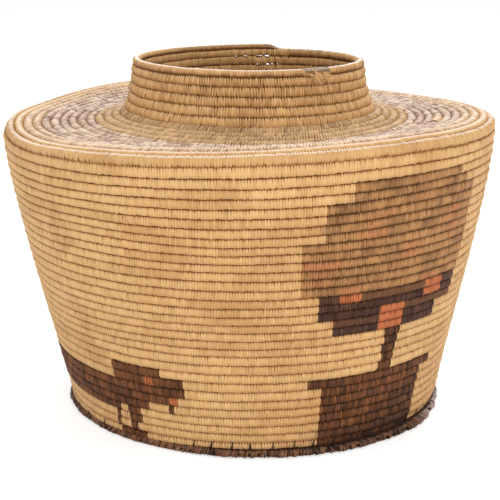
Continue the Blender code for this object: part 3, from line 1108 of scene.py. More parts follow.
MOTTLED = StrandFinish(
    name="mottled_strand_finish",
    slot="mottled_strand",
    light=(0.760, 0.575, 0.420),
    deep=(0.330, 0.185, 0.105),
    stain=(0.320, 0.165, 0.085),
    tint=(0.480, 0.240, 0.120),
    dirt_and_shade=(0.230, 0.105, 0.044),
    stain_share=0.60,
    stain_size=0.012,
    splint_share=0.80,
    stitch_share=0.95,
    base_share=0.46,
    dirt_and_shade_share=0.92,
    dirt_and_shade_from=0.14,
    gap_share=0.65,
    highlight_colour=(0.860, 0.770, 0.700),
    highlight_share=0.24,
    highlight_from=0.88,
    back_highlight_and_shade_share=0.45,
    roughness=0.44,
    gloss=0.45,
)
INNER = StrandFinish(
    name="inner_shoulder_strand_finish",
    slot="natural_strand",
    light=(0.630, 0.400, 0.185),
    deep=(0.340, 0.185, 0.072),
    stain=(0.310, 0.150, 0.055),
    tint=(0.500, 0.300, 0.200),
    dirt_and_shade=(0.190, 0.090, 0.026),
    dirt_and_shade_share=0.66,
    dirt_and_shade_from=0.26,
    splint_share=0.25,
    stitch_share=0.80,
    gap_share=0.95,
    highlight_share=0.25,
    highlight_from=0.80,
)
NECK = StrandFinish(
    name="neck_strand_finish",
    slot="natural_strand",
    light=(0.675, 0.395, 0.158),
    deep=(0.320, 0.146, 0.042),
    stain=(0.340, 0.155, 0.046),
    tint=(0.500, 0.300, 0.200),
    dirt_and_shade=(0.230, 0.088, 0.020),
    dirt_and_shade_share=0.86,
    dirt_and_shade_from=0.22,
    stitch_share=0.62,
    gap_share=0.44,
    highlight_colour=(0.820, 0.560, 0.290),
    highlight_share=0.40,
    highlight_from=0.10,
    underside_shade_share=0.60,
)
RIM = StrandFinish(
    name="rim_strand_finish",
    slot="natural_strand",
    light=(0.640, 0.360, 0.138),
    deep=(0.330, 0.150, 0.043),
    stain=(0.340, 0.155, 0.046),
    tint=(0.500, 0.300, 0.200),
    dirt_and_shade=(0.170, 0.060, 0.013),
    stitch_share=0.40,
    highlight_colour=(0.980, 0.900, 0.820),
    highlight_share=0.85,
    highlight_from=0.82,
    underside_shade_share=0.50,
    gloss=0.45,
)
BROWN = StrandFinish(
    name="brown_strand_finish",
    slot="brown_strand",
    light=(0.495, 0.242, 0.084),
    deep=(0.210, 0.084, 0.026),
    stain=(0.150, 0.065, 0.024),
    tint=(0.560, 0.190, 0.070),
    dirt_and_shade=(0.085, 0.034, 0.007),
    stain_share=0.50,
    stain_size=0.022,
    splint_share=0.32,
    stitch_share=0.40,
    dirt_and_shade_share=0.94,
    dirt_and_shade_from=0.07,
    gap_share=0.26,
)
DARK = StrandFinish(
    name="dark_strand_finish",
    slot="dark_strand",
    light=(0.280, 0.100, 0.035),
    deep=(0.034, 0.015, 0.008),
    stain=(0.042, 0.021, 0.014),
    tint=(0.300, 0.110, 0.045),
    dirt_and_shade=(0.010, 0.005, 0.003),
    shade=(0.020, 0.012, 0.012),
    stain_share=0.40,
    stain_size=0.020,
    patch_share=0.90,
    splint_share=0.14,
    stitch_share=0.64,
    grain_share=0.52,
    base_share=0.52,
    dirt_and_shade_share=0.96,
    dirt_and_shade_from=0.14,
    gap_share=0.70,
    highlight_colour=(0.380, 0.280, 0.220),
    highlight_share=0.08,
    scuff_share=0.14,
    gloss=0.14,
)
BRANCH = replace(
    DARK,
    name="branch_strand_finish",
    light=(0.126, 0.051, 0.030),
    deep=(0.030, 0.013, 0.010),
    tint=(0.200, 0.085, 0.036),
)
LASHING = replace(
    DARK,
    name="lashing_strand_finish",
    light=(0.055, 0.026, 0.018),
    deep=(0.014, 0.008, 0.007),
    highlight_share=0.0,
    scuff_share=0.0,
)
ORANGE = StrandFinish(
    name="orange_strand_finish",
    slot="orange_strand",
    light=(0.580, 0.165, 0.052),
    deep=(0.340, 0.085, 0.026),
    stain=(0.280, 0.075, 0.026),
    tint=(0.580, 0.165, 0.052),
    dirt_and_shade=(0.110, 0.028, 0.008),
    dirt_and_shade_share=0.92,
    dirt_and_shade_from=0.14,
    gap_share=0.55,
)
FOOT = StrandFinish(
    name="foot_strand_finish",
    slot="dark_strand",
    light=(0.190, 0.084, 0.040),
    deep=(0.036, 0.016, 0.008),
    stain=(0.360, 0.170, 0.075),
    tint=(0.480, 0.370, 0.320),
    dirt_and_shade=(0.012, 0.006, 0.003),
    stain_share=0.60,
    stain_size=0.009,
    splint_share=0.60,
    stitch_share=0.90,
    base_share=0.50,
    gap_share=0.85,
    highlight_colour=(0.620, 0.540, 0.500),
    highlight_share=0.06,
    scuff_share=0.14,
    roughness=0.62,
    gloss=0.12,
)
BUNDLE = StemFinish("bundle_finish", light=(0.360, 0.140, 0.040), dark=(0.150, 0.054, 0.016))
# This colour is also used for the dark filler in the foot ring's seam, which stands in for shade.
RING_CORE = StemFinish("ring_core_finish", light=(0.048, 0.022, 0.012), dark=(0.010, 0.006, 0.004))
# The bare stems have a strong painted highlight on their up-facing crests.
BARE = StemFinish(
    "bare_core_finish", light=(0.290, 0.212, 0.150), dark=(0.110, 0.076, 0.052), crest_highlight_share=0.80
)
FRAY = StemFinish("frayed_fibre_finish", light=(1.000, 0.720, 0.370), dark=(0.520, 0.230, 0.065))
LOOSE = StemFinish("loose_strand_finish", light=(0.860, 0.580, 0.290), dark=(0.600, 0.330, 0.120))


# Strands


class Wrap(Enum):
    """How a stitch goes round the coil: first and last angle from its crest, rows, columns."""

    WALL = (-103.0, 103.0, 5, 4)
    OPEN = (-103.0, 103.0, 7, 4)
    WORN = (-92.0, 24.0, 5, 4)
    ROUND = (-104.0, 104.0, 7, 4)
    COARSE = (-100.0, 100.0, 4, 3)
    RIM = (-92.0, 262.0, 12, 4)
    RING = (-160.0, 160.0, 9, 4)

    @property
    def angles(self) -> list[float]:
        """The angle of each row, in radians."""
        first, last, rows, _ = self.value
        return [math.radians(first + (last - first) * row / (rows - 1)) for row in range(rows)]

    @property
    def columns(self) -> list[tuple[float, float]]:
        """Place across the strand and height of the crown, for each column."""
        if self.value[3] == 3:
            return [(-0.5, 0.0), (0.0, 1.0), (0.5, 0.0)]
        return [(-0.5, 0.0), (-0.22, 1.0), (0.22, 1.0), (0.5, 0.0)]


@dataclass
class StrandShape:
    """One closed strand in a cell of its own, which the stitch tree bends over the coil."""

    wrap: Wrap
    low_taper: float = 0.34
    open_taper: float = 0.88
    top_share: float = 0.8

    @property
    def tip(self) -> Span:
        """Where along the strand its upper end starts to narrow, and how much it does."""
        tips = {Wrap.ROUND: (0.50, 0.68), Wrap.WALL: (0.62, 0.60)}
        return tips.get(self.wrap, (0.70, 0.52))

    def width_at(self, turn: float) -> float:
        """How wide the strand is, at a share of its length from its lower end."""
        if self.wrap is Wrap.OPEN:
            return 1.0 - ramp(abs(2.0 * turn - 1.0), 0.45, 0.95) * self.open_taper
        start, taper = self.tip
        high = ramp(turn, start, 1.0) * taper
        low = ramp(turn, 0.24, 0.0) * self.low_taper
        return 1.0 - high - low

    def build(self) -> bpy.types.Object:
        """Build the strand.

        Returns:
            A helper object, which the tree reads and which is removed at the end.
        """
        shape = bmesh.new()
        unit = shape.verts.layers.float_vector.new("unit")
        crown = shape.verts.layers.float.new("crown")
        reach = shape.verts.layers.float.new("reach")
        cell = shape.loops.layers.uv.new("cell")
        angles, columns = self.wrap.angles, self.wrap.columns
        rows = []
        for row, angle in enumerate(angles):
            share = row / (len(angles) - 1)
            width = self.width_at(share)
            line = []
            for aside, height in columns:
                vertex = shape.verts.new((aside * width, 0.5 * math.sin(angle), math.cos(angle)))
                vertex[unit] = vertex.co
                vertex[crown] = height * (1.0 - 0.5 * abs(2.0 * share - 1.0) ** 4)
                vertex[reach] = share - 0.5
                line.append(vertex)
            rows.append(line)
        last = len(angles) - 1
        for row in range(last):
            low, high = row / last, (row + 1) / last
            for column in range(len(columns) - 1):
                left, right = (
                    self.top_share * (columns[index][0] + 0.5) for index in (column, column + 1)
                )
                face = shape.faces.new([
                    rows[row][column],
                    rows[row][column + 1],
                    rows[row + 1][column + 1],
                    rows[row + 1][column],
                ])
                corners = [(left, low), (right, low), (right, high), (left, high)]
                self.map_face(face, cell, corners)
            face = shape.faces.new([
                rows[row][-1], rows[row][0], rows[row + 1][0], rows[row + 1][-1]
            ])
            corners = [(self.top_share, low), (1.0, low), (1.0, high), (self.top_share, high)]
            self.map_face(face, cell, corners)
        for line, spot in ((rows[0][::-1], 0.0), (rows[-1], 1.0)):
            face = shape.faces.new(line)
            self.map_face(face, cell, [(self.top_share, spot)] * len(line))
        for edge in shape.edges:
            ends = [vertex[crown] for vertex in edge.verts]
            if max(ends) == 0.0 or abs(edge.verts[0][reach]) == abs(edge.verts[1][reach]) == 0.5:
                edge.smooth = False
        mesh = bpy.data.meshes.new(f"strand_{self.wrap.name.lower()}")
        shape.to_mesh(mesh)
        shape.free()
        helper = bpy.data.objects.new(mesh.name, mesh)
        bpy.context.scene.collection.objects.link(helper)
        return helper

    @staticmethod
    def map_face(face: bmesh.types.BMFace, layer: Any, corners: Sequence[Span]) -> None:
        """Give each corner of a face its place in the strand's cell."""
        for loop, corner in zip(face.loops, corners):
            loop[layer].uv = corner


class StitchTree:
    """The node tree that sews stitches along paths."""

    INPUTS = (
        ("Geometry", "NodeSocketGeometry"),
        ("Strand", "NodeSocketObject"),
        ("Spacing", "NodeSocketFloat"),
        ("Width", "NodeSocketFloat"),
        ("Crown", "NodeSocketFloat"),
        ("Slant", "NodeSocketFloat"),
        ("Unevenness", "NodeSocketFloat"),
        ("Raggedness", "NodeSocketFloat"),
        ("Splint Length", "NodeSocketFloat"),
        ("Row Length", "NodeSocketFloat"),
        ("Rows", "NodeSocketFloat"),
        ("Seed", "NodeSocketInt"),
        ("Finish", "NodeSocketMaterial"),
    )
    HELPERS = (
        "seat", "jitter", "walk", "along", "span", "rise", "unit", "crown", "reach", "cell"
    )

    def __init__(self) -> None:
        """Build the tree."""
        self.group = bpy.data.node_groups.new("stitches", "GeometryNodeTree")
        self.bench = Bench(self.group)
        for name, kind in self.INPUTS:
            self.group.interface.new_socket(name, in_out="INPUT", socket_type=kind)
        self.group.interface.new_socket(
            "Geometry", in_out="OUTPUT", socket_type="NodeSocketGeometry"
        )
        given = self.bench.add("NodeGroupInput", {}, {})
        self.given = {name: self.bench.out(given, name) for name, _ in self.INPUTS}
        sewn = self.shape(self.stitch(self.points()))
        result = self.bench.add("NodeGroupOutput", {}, {"Geometry": sewn})
        result.is_active_output = True

    def chain(
        self, kind: str, settings: dict[str, Any], sockets: dict[str | int, Any]
    ) -> Term:
        """Add a node and take its first output."""
        return self.bench.out(self.bench.add(kind, settings, sockets), 0)

    def read(self, name: str, kind: str = "FLOAT_VECTOR") -> Term:
        """An attribute that the geometry carries."""
        node = self.bench.add("GeometryNodeInputNamedAttribute", {"data_type": kind}, {"Name": name})
        return self.bench.out(node, "Attribute")

    def store(
        self, geometry: Term, name: str, value: Term, kind: str = "FLOAT", domain: str = "POINT"
    ) -> Term:
        """Keep a value on the geometry."""
        return self.chain(
            "GeometryNodeStoreNamedAttribute",
            {"data_type": kind, "domain": domain},
            {"Geometry": geometry, "Name": name, "Value": value},
        )

    def chance(self, kind: str, low: Any, high: Any, seed: int, which: Term | None = None) -> Term:
        """A random value for each stitch, or for each that shares a number."""
        sockets: dict[str | int, Any] = {"Min": low, "Max": high, "Seed": self.given["Seed"] + seed}
        if which is not None:
            sockets["ID"] = which
        node = self.bench.add("FunctionNodeRandomValue", {"data_type": kind}, sockets)
        return self.bench.out(node, "Value")

    def points(self) -> Term:
        """Spread points along the paths, a spacing apart, each with its tones."""
        curve = self.chain("GeometryNodeMeshToCurve", {}, {"Mesh": self.given["Geometry"]})
        length = self.chain("GeometryNodeSplineLength", {}, {})
        count = (length / self.given["Spacing"] + 0.5).floor() + 1.0
        curve = self.chain(
            "GeometryNodeResampleCurve", {"mode": "COUNT"}, {"Curve": curve, "Count": count}
        )
        points = self.chain("GeometryNodeCurveToPoints", {"mode": "EVALUATED"}, {"Curve": curve})
        spot = self.chain("GeometryNodeInputPosition", {}, {})
        points = self.store(points, "seat", spot, "FLOAT_VECTOR")
        jitter = self.chance("FLOAT_VECTOR", (-1.0,) * 3, (1.0,) * 3, 1)
        points = self.store(points, "jitter", jitter, "FLOAT_VECTOR")
        points = self.store(points, "stitch_tone", self.chance("FLOAT", 0.0, 1.0, 2))
        walk = self.read("walk", "FLOAT")
        sway = self.chain(
            "ShaderNodeTexNoise", {"noise_dimensions": "1D"}, {"W": walk, "Scale": 9.0}
        )
        splint = (walk / self.given["Splint Length"] + sway * 3.0).floor()
        return self.store(points, "splint_tone", self.chance("FLOAT", 0.0, 1.0, 3, splint))

    def stitch(self, points: Term) -> Term:
        """Set a strand on every point and bend it over the coil."""
        info = self.bench.add("GeometryNodeObjectInfo", {}, {"Object": self.given["Strand"]})
        strands = self.chain(
            "GeometryNodeInstanceOnPoints",
            {},
            {"Points": points, "Instance": self.bench.out(info, "Geometry")},
        )
        strands = self.chain("GeometryNodeRealizeInstances", {}, {"Geometry": strands})
        unit, span, rise = (self.read(name) for name in ("unit", "span", "rise"))
        jitter = self.read("jitter")
        uneven = self.given["Unevenness"]
        width = (
            self.given["Spacing"] * self.given["Width"] * (1.0 + jitter.part("X") * uneven)
        )
        slant = self.given["Slant"] + jitter.part("Y") * uneven * 0.45
        aside = unit.part("X") * width + unit.part("Y") * span.length() * slant
        lift = 1.0 + jitter.part("Z") * uneven * 0.6
        shift = (jitter.part("X") + jitter.part("Z")) * self.given["Raggedness"]
        stretch = 1.0 + (jitter.part("Y") - jitter.part("Z")) * self.given["Raggedness"]
        bent = (
            self.read("seat")
            + self.read("along") * aside
            + span * (unit.part("Y") * stretch + shift * 0.5)
            + rise * (unit.part("Z") * lift)
        )
        strands = self.chain(
            "GeometryNodeSetPosition", {}, {"Geometry": strands, "Position": bent}
        )
        normal = self.chain("GeometryNodeInputNormal", {}, {})
        puff = normal * (self.read("crown", "FLOAT") * self.given["Crown"])
        return self.chain("GeometryNodeSetPosition", {}, {"Geometry": strands, "Offset": puff})

    def shape(self, strands: Term) -> Term:
        """Map, smooth and dress the strands."""
        cell, walk = self.read("cell"), self.read("walk", "FLOAT")
        length, rows = self.given["Row Length"], self.given["Rows"]
        row = (walk / length).floor()
        column = walk - row * length + (cell.part("X") - 0.5) * self.given["Spacing"] * 0.94
        margin = self.given["Spacing"]
        u = (column + margin) / (length + margin * 2.0)
        v = (row + 0.04 + cell.part("Y") * 0.92) / rows
        strands = self.store(strands, BAKE_MAP, self.bench.vector(u, v), "FLOAT2", "CORNER")
        where = self.bench.vector(self.read("unit").part("X"), self.read("reach", "FLOAT"))
        strands = self.store(strands, "strand", where, "FLOAT_VECTOR")
        for name in self.HELPERS:
            strands = self.chain(
                "GeometryNodeRemoveAttribute", {}, {"Geometry": strands, "Name": name}
            )
        strands = self.chain("GeometryNodeSetShadeSmooth", {}, {"Geometry": strands})
        dressed = {"Geometry": strands, "Material": self.given["Finish"]}
        return self.chain("GeometryNodeSetMaterial", {}, dressed)

    def sew(self, piece: bpy.types.Object, inputs: dict[str, Any]) -> None:
        """Run the tree on an object and keep the plain mesh.

        Args:
            piece: An object whose mesh holds paths.
            inputs: Values of the tree's named inputs.
        """
        sewing = piece.modifiers.new("sewing", "NODES")
        sewing.node_group = self.group
        for item in self.group.interface.items_tree:
            if item.in_out == "INPUT" and item.name in inputs:
                sewing[item.identifier] = inputs[item.name]
        graph = bpy.context.evaluated_depsgraph_get()
        mesh = bpy.data.meshes.new_from_object(
            piece.evaluated_get(graph), preserve_all_data_layers=True, depsgraph=graph
        )
        piece.modifiers.remove(sewing)
        path = piece.data
        piece.data = mesh
        mesh.name = piece.name
        bpy.data.meshes.remove(path)


@dataclass
class Sewing:
    """How one piece of the basket is sewn."""

    name: str
    spans: list[Span]
    seat: Callable[[float], Seat]
    wrap: Wrap
    finish: StrandFinish
    replaces: tuple[str, ...] = ()
    spacing: float = 0.0021
    width: float = 1.05
    crown: float = 0.00026
    slant: float = 0.0
    unevenness: float = 0.10
    raggedness: float = 0.045
    splint_length: float = 0.034
    seed: int = 1
    tint: Callable[[float], float] = field(default=lambda turns: 0.0)

    def stations(self) -> Iterator[list[float]]:
        """The places along each span where the path has a point, half a stitch off its ends."""
        for first, last in self.spans:
            radius = self.seat(0.5 * (first + last)).middle.xy.length
            half = 0.5 * self.spacing / (2.0 * math.pi * max(radius, 0.002))
            low, high = first + half, last - half
            if high <= low:
                low = high = 0.5 * (first + last)
                high += 1e-5
            fine = OPEN_FINENESS if self.wrap is Wrap.OPEN else 1
            steps = max(1, math.ceil((high - low) * STATIONS_PER_TURN * fine))
            yield [low + (high - low) * step / steps for step in range(steps + 1)]

    def path(self) -> tuple[bpy.types.Mesh, float]:
        """Lay the path of the sewing.

        Returns:
            A mesh of lines with the seats as attributes, and their length in all.
        """
        seats: list[Seat] = []
        walks: list[float] = []
        edges: list[tuple[int, int]] = []
        walked = 0.0
        for stations in self.stations():
            start = len(seats)
            for turns in stations:
                seat = self.seat(turns)
                if len(seats) > start:
                    walked += (seat.middle - seats[-1].middle).length
                    edges.append((len(seats) - 1, len(seats)))
                seats.append(seat)
                walks.append(walked)
            walked += self.spacing
        mesh = bpy.data.meshes.new(self.name)
        mesh.from_pydata([seat.middle for seat in seats], edges, [])
        for name, vectors in (
            ("span", [seat.span for seat in seats]),
            ("rise", [seat.rise for seat in seats]),
            ("along", [seat.along for seat in seats]),
        ):
            layer = mesh.attributes.new(name, "FLOAT_VECTOR", "POINT")
            layer.data.foreach_set("vector", [value for vector in vectors for value in vector])
        for name, values in (
            ("walk", walks),
            ("tint", [self.tint(seat.turns) for seat in seats]),
        ):
            mesh.attributes.new(name, "FLOAT", "POINT").data.foreach_set("value", values)
        return mesh, walked

    def build(self, kit: "SewingKit") -> bpy.types.Object:
        """Sew the piece and give it to its body.

        Args:
            kit: The tree and the strands.

        Returns:
            The piece.
        """
        mesh, walked = self.path()
        piece = bpy.data.objects.new(self.name, mesh)
        bpy.context.scene.collection.objects.link(piece)
        rows = max(1, math.ceil(math.sqrt(walked / BAKE_ROW)))
        kit.tree.sew(piece, {
            "Strand": kit.strand(self.wrap),
            "Spacing": self.spacing,
            "Width": self.width,
            "Crown": self.crown,
            "Slant": self.slant,
            "Unevenness": self.unevenness,
            "Raggedness": self.raggedness,
            "Splint Length": self.splint_length,
            "Row Length": walked / rows + 1e-6,
            "Rows": float(rows),
            "Seed": self.seed,
            "Finish": self.finish.material(),
        })
        finish_piece(piece, self.finish.slot, self.replaces)
        return piece


class SewingKit:
    """The stitch tree and the strand shapes, shared by all pieces."""

    def __init__(self) -> None:
        """Start with the tree and no strands."""
        self.tree = StitchTree()
        self.strands: dict[Wrap, bpy.types.Object] = {}

    def strand(self, wrap: Wrap) -> bpy.types.Object:
        """The strand for a kind of wrap."""
        if wrap not in self.strands:
            self.strands[wrap] = StrandShape(wrap).build()
        return self.strands[wrap]

    def clear(self) -> None:
        """Remove the helpers."""
        for helper in self.strands.values():
            mesh = helper.data
            bpy.data.objects.remove(helper, do_unlink=True)
            bpy.data.meshes.remove(mesh)
        bpy.data.node_groups.remove(self.tree.group)


def finish_piece(piece: bpy.types.Object, slot: str | None, nodes: Sequence[str]) -> None:
    """Give a finished piece to its body, hide the CAD nodes that it replaces and log its face count.

    Args:
        piece: The piece, a plain mesh at the origin.
        slot: A material slot name, or None; not used.
        nodes: The CAD nodes that it replaces.
    """
    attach(piece, BODY)
    if nodes:
        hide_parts(*nodes)
    LOG.info("%s: %d faces", piece.name, len(piece.data.polygons))


# The basket


@dataclass
class PlainStitches:
    """All the undyed sewing on the outside, cut into pieces of a few courses."""

    base_spacing: float = 0.0026
    base_end: float = 18.5
    wall_groups: tuple[tuple[str, float, float, tuple[str, ...]], ...] = (
        ("wall_foot_stitches", 18.5, 24.5, ("wall_lower_coil",)),
        ("wall_low_stitches", 24.5, 30.5, ()),
        ("wall_mid_stitches", 30.5, 36.0, ("wall_middle_coil",)),
        ("wall_waist_stitches", 36.0, 41.5, ()),
        ("wall_high_stitches", 41.5, 46.75, ("wall_upper_coil",)),
        ("wall_top_stitches", 46.75, 51.6, ()),
    )
    # Turns at which the finish changes, going inward over the shoulder
    edge_end: float = 53.5
    mottled_run: Span = (55.6, 61.5)
    inner_end: float = 65.5
    edge_crown: float = 0.00030
    rope_width: float = 1.04
    rope_crown: float = 0.00045
    rope_unevenness: float = 0.22
    rope_slant: float = 0.10
    inner_slant: float = 0.30
    splice: Span = (57.784, 57.806)
    splice_swell: float = 1.60
    splice_overlap: float = 1.25
    rope_spacing: float = 0.0023
    neck_crown: float = 0.00048
    neck_unevenness: float = 0.22
    rope_splint: float = 0.009
    rim_marks: tuple[Span, ...] = ((70.617, 70.626), (71.524, 71.540))
    rim_mark_tint: float = -0.7
    rim_shadow: float = 0.34
    neck_shadow: float = 0.35

    def rim_tint(self, turns: float) -> float:
        """Two dark marks on the rim behind, and painted shade that makes the rim behind darker than
        the front.
        """
        if any(first < turns < last for first, last in self.rim_marks):
            return self.rim_mark_tint
        return -self.rim_shadow * ramp(behind(turns), 0.6, 0.95)

    def inner_tint(self, turns: float) -> float:
        """The course in the neck's shadow is darker in front."""
        shadow = ramp(turns, self.inner_end - 0.9, self.inner_end) * (1.0 - behind(turns))
        return -self.neck_shadow * shadow

    def splice_seat(self, turns: float) -> Seat:
        """The seat of a stitch over the lump where two bundles are spliced."""
        seat = outer_seat(turns)
        return replace(seat, span=seat.span * self.splice_overlap, rise=seat.rise * self.splice_swell)

    @staticmethod
    def neck_spans(first: float, last: float) -> list[Span]:
        """The stretches between two places that aren't open sewing."""
        cuts = [first, *(edge for span in open_spans() for edge in span), last]
        return [span for span in zip(cuts[::2], cuts[1::2]) if span[1] - span[0] > 1e-4]

    def rope(
        self, part: str, span: Span, finish: StrandFinish, seed: int,
        tint: Callable[[float], float] = lambda turns: 0.0,
    ) -> Sewing:
        """A run of round coils on the shoulder.

        Args:
            part: Which run.
            span: Its first and last turn.
            finish: Its strands.
            seed: Seed of its unevenness.
            tint: How tinted its strands are.

        Returns:
            The sewing.
        """
        return Sewing(
            f"{part}_stitches", [span], outer_seat, Wrap.ROUND, finish, (f"{part}_coil",),
            seed=seed, width=self.rope_width, crown=self.rope_crown,
            unevenness=self.rope_unevenness, spacing=self.rope_spacing, slant=self.rope_slant,
            splint_length=self.rope_splint, tint=tint,
        )

    def sewings(self) -> list[Sewing]:
        """Every plain piece on the outside, from the base to the rim."""
        pieces = [
            Sewing(
                "base_stitches", OWNERS.spans(-KNOT_TURNS, self.base_end, None), outer_seat,
                Wrap.COARSE, NATURAL, ("base_coil", "start_knot"), spacing=self.base_spacing,
                seed=11,
            )
        ]
        for seed, (name, first, last, nodes) in enumerate(self.wall_groups, start=21):
            pieces.append(Sewing(
                name, OWNERS.spans(first, last, None), outer_seat, Wrap.WALL, NATURAL, nodes,
                seed=seed, tint=tint_at,
            ))
        wall_end = self.wall_groups[-1][2]
        pieces += [
            Sewing(
                "shoulder_edge_stitches", [(wall_end, self.edge_end)], outer_seat, Wrap.WALL, EDGE,
                seed=37, crown=self.edge_crown,
            ),
            self.rope("shoulder_outer", (self.edge_end, self.mottled_run[0]), SHOULDER, 31),
            self.rope("shoulder_mottled", self.mottled_run, MOTTLED, 32),
            replace(
                self.rope(
                    "shoulder_inner", (self.mottled_run[1], self.inner_end), INNER, 33,
                    self.inner_tint,
                ),
                slant=self.inner_slant,
            ),
            Sewing(
                "shoulder_splice_stitches", [self.splice], self.splice_seat, Wrap.ROUND, SPLICE,
                seed=38, crown=self.rope_crown,
            ),
            Sewing(
                "neck_stitches", self.neck_spans(self.inner_end, RIM_START), outer_seat,
                Wrap.ROUND, NECK, ("neck_coil",), seed=34, crown=self.neck_crown,
                unevenness=self.neck_unevenness,
            ),
            Sewing(
                "neck_open_stitches", open_spans(), outer_seat, Wrap.OPEN, NECK, seed=36,
                crown=self.neck_crown,
            ),
            Sewing(
                "rim_stitches",
                [
                    (RIM_START, RIM_FRONT - WORN_TO / 360.0),
                    (RIM_FRONT - WORN_FROM / 360.0, COIL_END),
                ],
                rim_seat, Wrap.RIM, RIM, ("rim_coil",), seed=35, tint=self.rim_tint,
            ),
        ]
        return pieces


@dataclass
class FigureStitches:
    """The dyed sewing of the tree and the animal."""

    finishes: tuple[tuple[str, StrandFinish], ...] = (
        ("tree_canopy", BROWN),
        ("tree_branches", BRANCH),
        ("tree_fruit_left", ORANGE),
        ("tree_fruit_middle", ORANGE),
        ("tree_fruit_right", ORANGE),
        ("tree_trunk", DARK),
        ("tree_pot", DARK),
        ("animal_body", DARK),
        ("animal_eye", ORANGE),
        ("animal_tongue", ORANGE),
    )
    splint_length: float = 0.013
    width: float = 1.03
    crown: float = 0.00050
    unevenness: float = 0.20

    def sewings(self) -> list[Sewing]:
        """One piece for each figure part."""
        return [
            Sewing(
                f"{name}_stitches", OWNERS.spans(BASE_COURSES - 1.0, WALL_TOP, name), outer_seat,
                Wrap.WALL, finish, (name,), seed=seed, splint_length=self.splint_length,
                tint=tint_at, width=self.width, crown=self.crown, unevenness=self.unevenness,
            )
            for seed, (name, finish) in enumerate(self.finishes, start=51)
        ]


@dataclass
class Lining:
    """The inside of the basket, where the same strands come round."""

    spacing: float = 0.0027
    crown: float = 0.00030
    neck_start: float = 64.5
    groups: tuple[tuple[str, float, float], ...] = (
        ("base_lining", -KNOT_TURNS, 19.5),
        ("wall_lower_lining", 19.5, 30.5),
        ("wall_middle_lining", 30.5, 41.5),
        ("wall_upper_lining", 41.5, 52.5),
        ("shoulder_lining", 52.5, neck_start),
    )

    def sewings(self) -> list[Sewing]:
        """The lining in pieces, from the base to below the rim."""
        pieces = [
            Sewing(
                name, [(first, last)], inner_seat, Wrap.COARSE, NATURAL, seed=seed,
                spacing=self.spacing, crown=self.crown,
            )
            for seed, (name, first, last) in enumerate(self.groups, start=71)
        ]
        neck = PlainStitches.neck_spans(self.neck_start, RIM_START)
        return pieces + [
            Sewing("neck_lining", neck, inner_seat, Wrap.ROUND, NECK, seed=79),
            Sewing("neck_open_lining", open_spans(), inner_seat, Wrap.OPEN, NECK, seed=80),
        ]


@dataclass
class Bundle:
    """The foundation that runs through the whole coil under the stitches."""

    columns_per_turn: int = 120
    slack: float = 0.012
    rim_inset: float = 0.12
    name: str = "coil_bundle"

    def stations(self) -> list[float]:
        """The places of its sections: evenly spaced, and closer by the openings."""
        first, last = -KNOT_TURNS + 0.02, COIL_END - END_TAPER
        steps = math.ceil((last - first) * self.columns_per_turn)
        places = {first + (last - first) * step / steps for step in range(steps + 1)}
        for above, start, end in OPENINGS:
            for course in (above - 1, above):
                places |= {course + start - OPEN_EDGE, course + start}
                places |= {course + end, course + end + OPEN_EDGE}
        return sorted(places)

    def section(self, turns: float) -> list[Vector]:
        """The six corners of the bundle, from the lower outer groove round to the inner one."""
        low = wander(turns) + self.slack + opening(turns)
        high = 1.0 + wander(turns + 1.0) - self.slack - opening(turns + 1.0)
        if turns > RIM_START:
            high = full_height(turns) - self.rim_inset
        crest = 0.5 * (low + high)
        outer_low = COIL_OUTSIDE - groove_depth(turns) - BUNDLE_COVER
        outer_high = COIL_OUTSIDE - groove_depth(turns + 1.0) - BUNDLE_COVER
        inner = INNER_GROOVE - COIL_INSIDE + BUNDLE_COVER
        return [
            place(turns, low, outer_low),
            place(turns, crest, COIL_OUTSIDE - BUNDLE_COVER),
            place(turns, high, outer_high),
            place(turns, high, inner),
            place(turns, crest, BUNDLE_COVER - COIL_INSIDE),
            place(turns, low, inner),
        ]

    def build(self) -> bpy.types.Object:
        """Build the bundle as one closed rod.

        Returns:
            The piece.
        """
        stations = self.stations()
        shape = bmesh.new()
        bake = shape.loops.layers.uv.new(BAKE_MAP)
        rows = math.ceil(math.sqrt(len(stations) / 6.0))
        per_row = math.ceil(len(stations) / rows)
        ring = [shape.verts.new(point) for point in self.section(stations[0])]
        shape.faces.new(ring)
        for step, turns in enumerate(stations[1:]):
            after = [shape.verts.new(point) for point in self.section(turns)]
            row, column = divmod(step, per_row)
            for side, face in enumerate(bridge(shape, ring, after)):
                left, right = column / per_row, (column + 1) / per_row
                low, high = (row + side / 6.0) / rows, (row + (side + 0.96) / 6.0) / rows
                corners = [(left, low), (right, low), (right, high), (left, high)]
                for loop, corner in zip(face.loops, corners):
                    loop[bake].uv = corner
            ring = after
        shape.faces.new(ring[::-1])
        bmesh.ops.recalc_face_normals(shape, faces=shape.faces)
        piece = mesh_piece(self.name, shape, BUNDLE.material())
        finish_piece(piece, "natural_strand", ())
        return piece


def bridge(
    shape: bmesh.types.BMesh, here: list[bmesh.types.BMVert], after: list[bmesh.types.BMVert]
) -> list[bmesh.types.BMFace]:
    """Join two rings of a rod by a band of faces.

    Args:
        shape: The mesh in the making.
        here: One ring.
        after: The next ring, with as many points.

    Returns:
        The faces, one for each side.
    """
    return [
        shape.faces.new([here[side], after[side], after[beside], here[beside]])
        for side, beside in enumerate([*range(1, len(here)), 0])
    ]


def mesh_piece(
    name: str, shape: bmesh.types.BMesh, material: bpy.types.Material
) -> bpy.types.Object:
    """Turn a bmesh into an object.

    Args:
        name: The piece's name.
        shape: The mesh in the making, freed here.
        material: Its finish.

    Returns:
        The object, linked to the scene.
    """
    mesh = bpy.data.meshes.new(name)
    shape.to_mesh(mesh)
    shape.free()
    mesh.shade_smooth()
    mesh.materials.append(material)
    piece = bpy.data.objects.new(name, mesh)
    bpy.context.scene.collection.objects.link(piece)
    return piece


